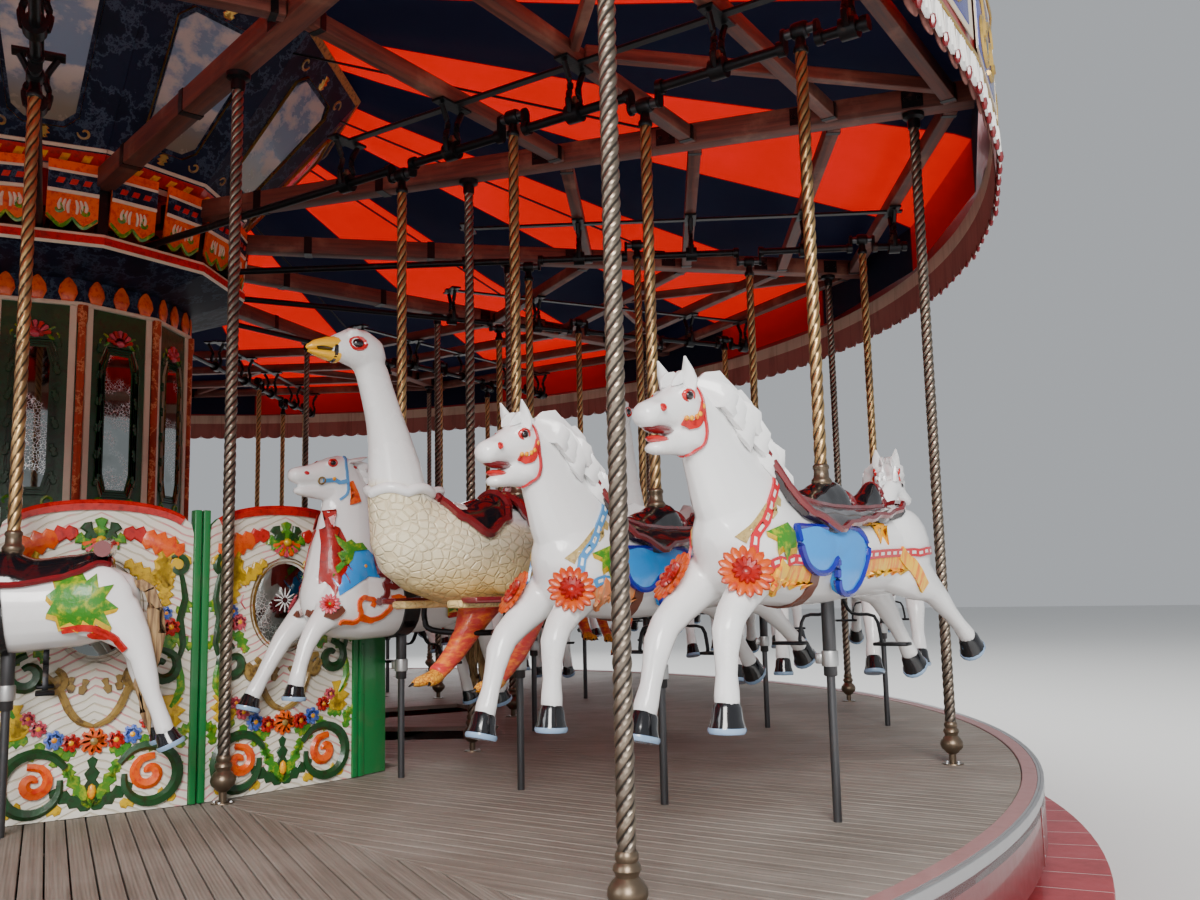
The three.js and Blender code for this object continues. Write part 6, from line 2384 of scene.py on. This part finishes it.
def crankThrow(shape, pin):
    # two webs and the pin between them, with the eye of the rod turning on the pin
    axis, web = throw["axis"], throw["web"]
    outline = []
    for start, z in ((0, max(axis, pin)), (math.pi, min(axis, pin))):
        turns = [start + math.pi * k / 8 for k in range(9)]
        outline += [(throw["cheek"] * math.cos(a), z + throw["cheek"] * math.sin(a)) for a in turns]
    lie = quarter("X")
    for y in (web - throw["half"], throw["half"]):
        shape.add(plate(outline, web, bevel=0.003), blackIron, shift(0, y, 0) @ lie)
    across = shift(0, 0, pin) @ lie
    shape.add(lathe(throw["pin"], 14), steel, across)
    shape.add(lathe(throw["eye"], 16), blackIron, across)


def footRests(rod, across, z0, z1):
    # L-shaped rests, one each side
    x, y = across
    for side in (1, -1):
        line = [(x, 0.02, z1 + 0.05), (x, 0.05, z1), (x, y - 0.02, z1 - 0.01), (x, y, z0 + 0.02), (x, y, z0)]
        rod.add(along(bent(flank(line, side), 3), (0.011, 0.006), 6, side=(1, 0, 0)), blackIron)
        tread = sorted((side * (y - 0.02), side * (y + 0.1)))
        rod.add(block(x - 0.03, x + 0.03, *tread, z0 - 0.012, z0, 0.003, 1), blackIron)


def animalRod(name, tube, saddle, clamp, rests):
    # slide rod, clamp and lower tube; twisted brass above the saddle; the throw at the top; foot rests
    rest = rings[name]["rest"]
    pin, low = throw["axis"] + rest, rodPlan["low"] + rest
    rod = Shape()
    rod.add(lathe(raised(rodPlan["slide"], low) + [(0.015, clamp), (0, clamp)], 12), steel)
    rod.add(lathe(raised(rodPlan["sleeve"], clamp) + [(0.0235, tube), (0, tube)], 16), steel)
    rod.add(lathe(raised(rodPlan["clamp"], clamp), 16), silver)
    rod.add(block(-0.014, 0.014, -0.05, -0.024, clamp + 0.03, clamp + 0.066, 0.003, 1), silver)
    rod.add(lathe(rodPlan["bolt"], 6), steel, shift(-0.004, -0.05, clamp + 0.048) @ quarter("X"))
    rod.add(lathe(raised(rodPlan["bell"], saddle, 0.88), 18), bronze)
    twist = twisted(saddle + 0.09, pin - 0.075, rodPlan["brass"], brassTwist, turnLength=0.21, step=0.022)
    rod.take(twist.mesh("twist", 60))
    rod.add(lathe(raised(rodPlan["neck"], pin), 14), blackIron)
    crankThrow(rod, pin)
    if rests:
        footRests(rod, *rests)
    print(name, "rod", rod.triangles(), "triangles")
    return rod.mesh(name + "Rod", 45)


noseIn = math.radians(7)


def placeRing(name, figure, rod, squeeze):
    ring = rings[name]
    for k in range(sections):
        node = f"{name}_{k + 1:02d}"
        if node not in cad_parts:
            continue
        seat = turnZ(k * pitch - math.pi / 2) @ shift(0, ring["radius"], deckTop)
        animal = Shape().take(figure, seat @ turnZ(-noseIn) @ squeeze).take(rod, seat)
        putOut(animal.asIs(node + "_dressed"), node + "_dressed", ring["body"], [node])
    print(name, "placed")


# `rests`: place of the foot rests (along, across), their tread and the height where they leave the tube
rings = {
    "outer_horse": {
        "radius": 5.1, "rest": 0.05, "body": "outer_horses", "slot": "horse_coat", "figure": outerHorse,
        "tube": 0.76, "saddle": 1.125, "clamp": 0.5, "rests": ((-0.1, 0.15), 0.6, 0.7),
    },
    "horse": {
        "radius": 4.42, "rest": -0.06, "body": "horses", "slot": "horse_coat", "figure": middleHorse,
        "tube": 0.72, "saddle": 1.085, "clamp": 0.44, "rests": ((-0.1, 0.15), 0.56, 0.66),
    },
    "inner_horse": {
        "radius": 3.08, "rest": -0.04, "body": "inner_horses", "slot": "horse_coat", "figure": innerHorse,
        "tube": 0.64, "saddle": 0.955, "clamp": 0.44, "rests": ((-0.12, 0.13), 0.5, 0.58),
    },
    "ostrich": {
        "radius": 3.745, "rest": 0.07, "body": "ostriches", "slot": "bird_coat", "figure": carvedBird,
        "tube": 0.79, "saddle": 1.17, "clamp": 0.46, "rests": None,
    },
}
shorter = {"horse": shift(0, 0, -0.04) @ Matrix.Diagonal((0.9, 1, 1, 1))}  # the second ring is cut shorter
for name, ring in rings.items():
    rod = animalRod(name, ring["tube"], ring["saddle"], ring["clamp"], ring["rests"])
    placeRing(name, ring["figure"], rod, shorter.get(name, Matrix.Identity(4)))


camera = {"place": (6.547, -3.649, 1.4), "pitch": 0.128, "heading": 2.149, "roll": -0.022, "lens": 32.69}


def setCamera():
    level, climb = math.cos(camera["pitch"]), math.sin(camera["pitch"])
    east, north = math.cos(camera["heading"]), math.sin(camera["heading"])
    ahead = Vector((level * east, level * north, climb))
    right = Vector((north, -east, 0))
    up = right.cross(ahead)
    c, s = math.cos(camera["roll"]), math.sin(camera["roll"])
    data = bpy.data.cameras.new("camera")
    data.lens, data.sensor_width, data.clip_start, data.clip_end = camera["lens"], 36, 0.05, 200
    made = linked("camera", data)
    made.matrix_world = Matrix((right * c + up * s, up * c - right * s, -ahead)).transposed().to_4x4()
    made.matrix_world.translation = Vector(camera["place"])
    bpy.context.scene.camera = made


lamps = {  # place, aim, size, power, colour
    "keyLamp": ((13, -13, 9), (2, 0, 1.5), 7, 3900, (1, 0.985, 0.96)),
    "fillLamp": ((-2, -15, 7), (1, 0, 1.5), 8, 1100, (0.95, 0.97, 1)),
    "backLamp": ((-10, 12, 8), (0, 0, 1.5), 9, 1100, (1, 1, 1)),
    "skyLamp": ((0, 0, 16), (0, 0, 0), 14, 4200, (1, 0.99, 0.96)),
}


def softLights():
    for name, (place, aim, size, power, colour) in lamps.items():
        data = bpy.data.lights.new(name, "AREA")
        data.energy, data.size, data.color = power, size, colour
        made = linked(name, data)
        made.location = place
        made.rotation_euler = (Vector(aim) - Vector(place)).to_track_quat("-Z", "Y").to_euler()
    world = bpy.data.worlds.new("studio")
    bpy.context.scene.world = world
    world.use_nodes = True
    sky = world.node_tree.nodes["Background"].inputs
    sky["Color"].default_value, sky["Strength"].default_value = (0.86, 0.9, 0.95, 1), 0.5


def studioFloor():
    part = bmesh.new()
    bmesh.ops.create_grid(part, x_segments=2, y_segments=2, size=60)
    paint = Paint("studioFloor", (0.7, 0.7, 0.69), 0.8)
    mesh = Shape().add(part, paint.material, shift(0, 0, -0.001)).mesh("studioFloor")
    linked("studioFloor", mesh)


setCamera()
softLights()
studioFloor()
print("studio set")
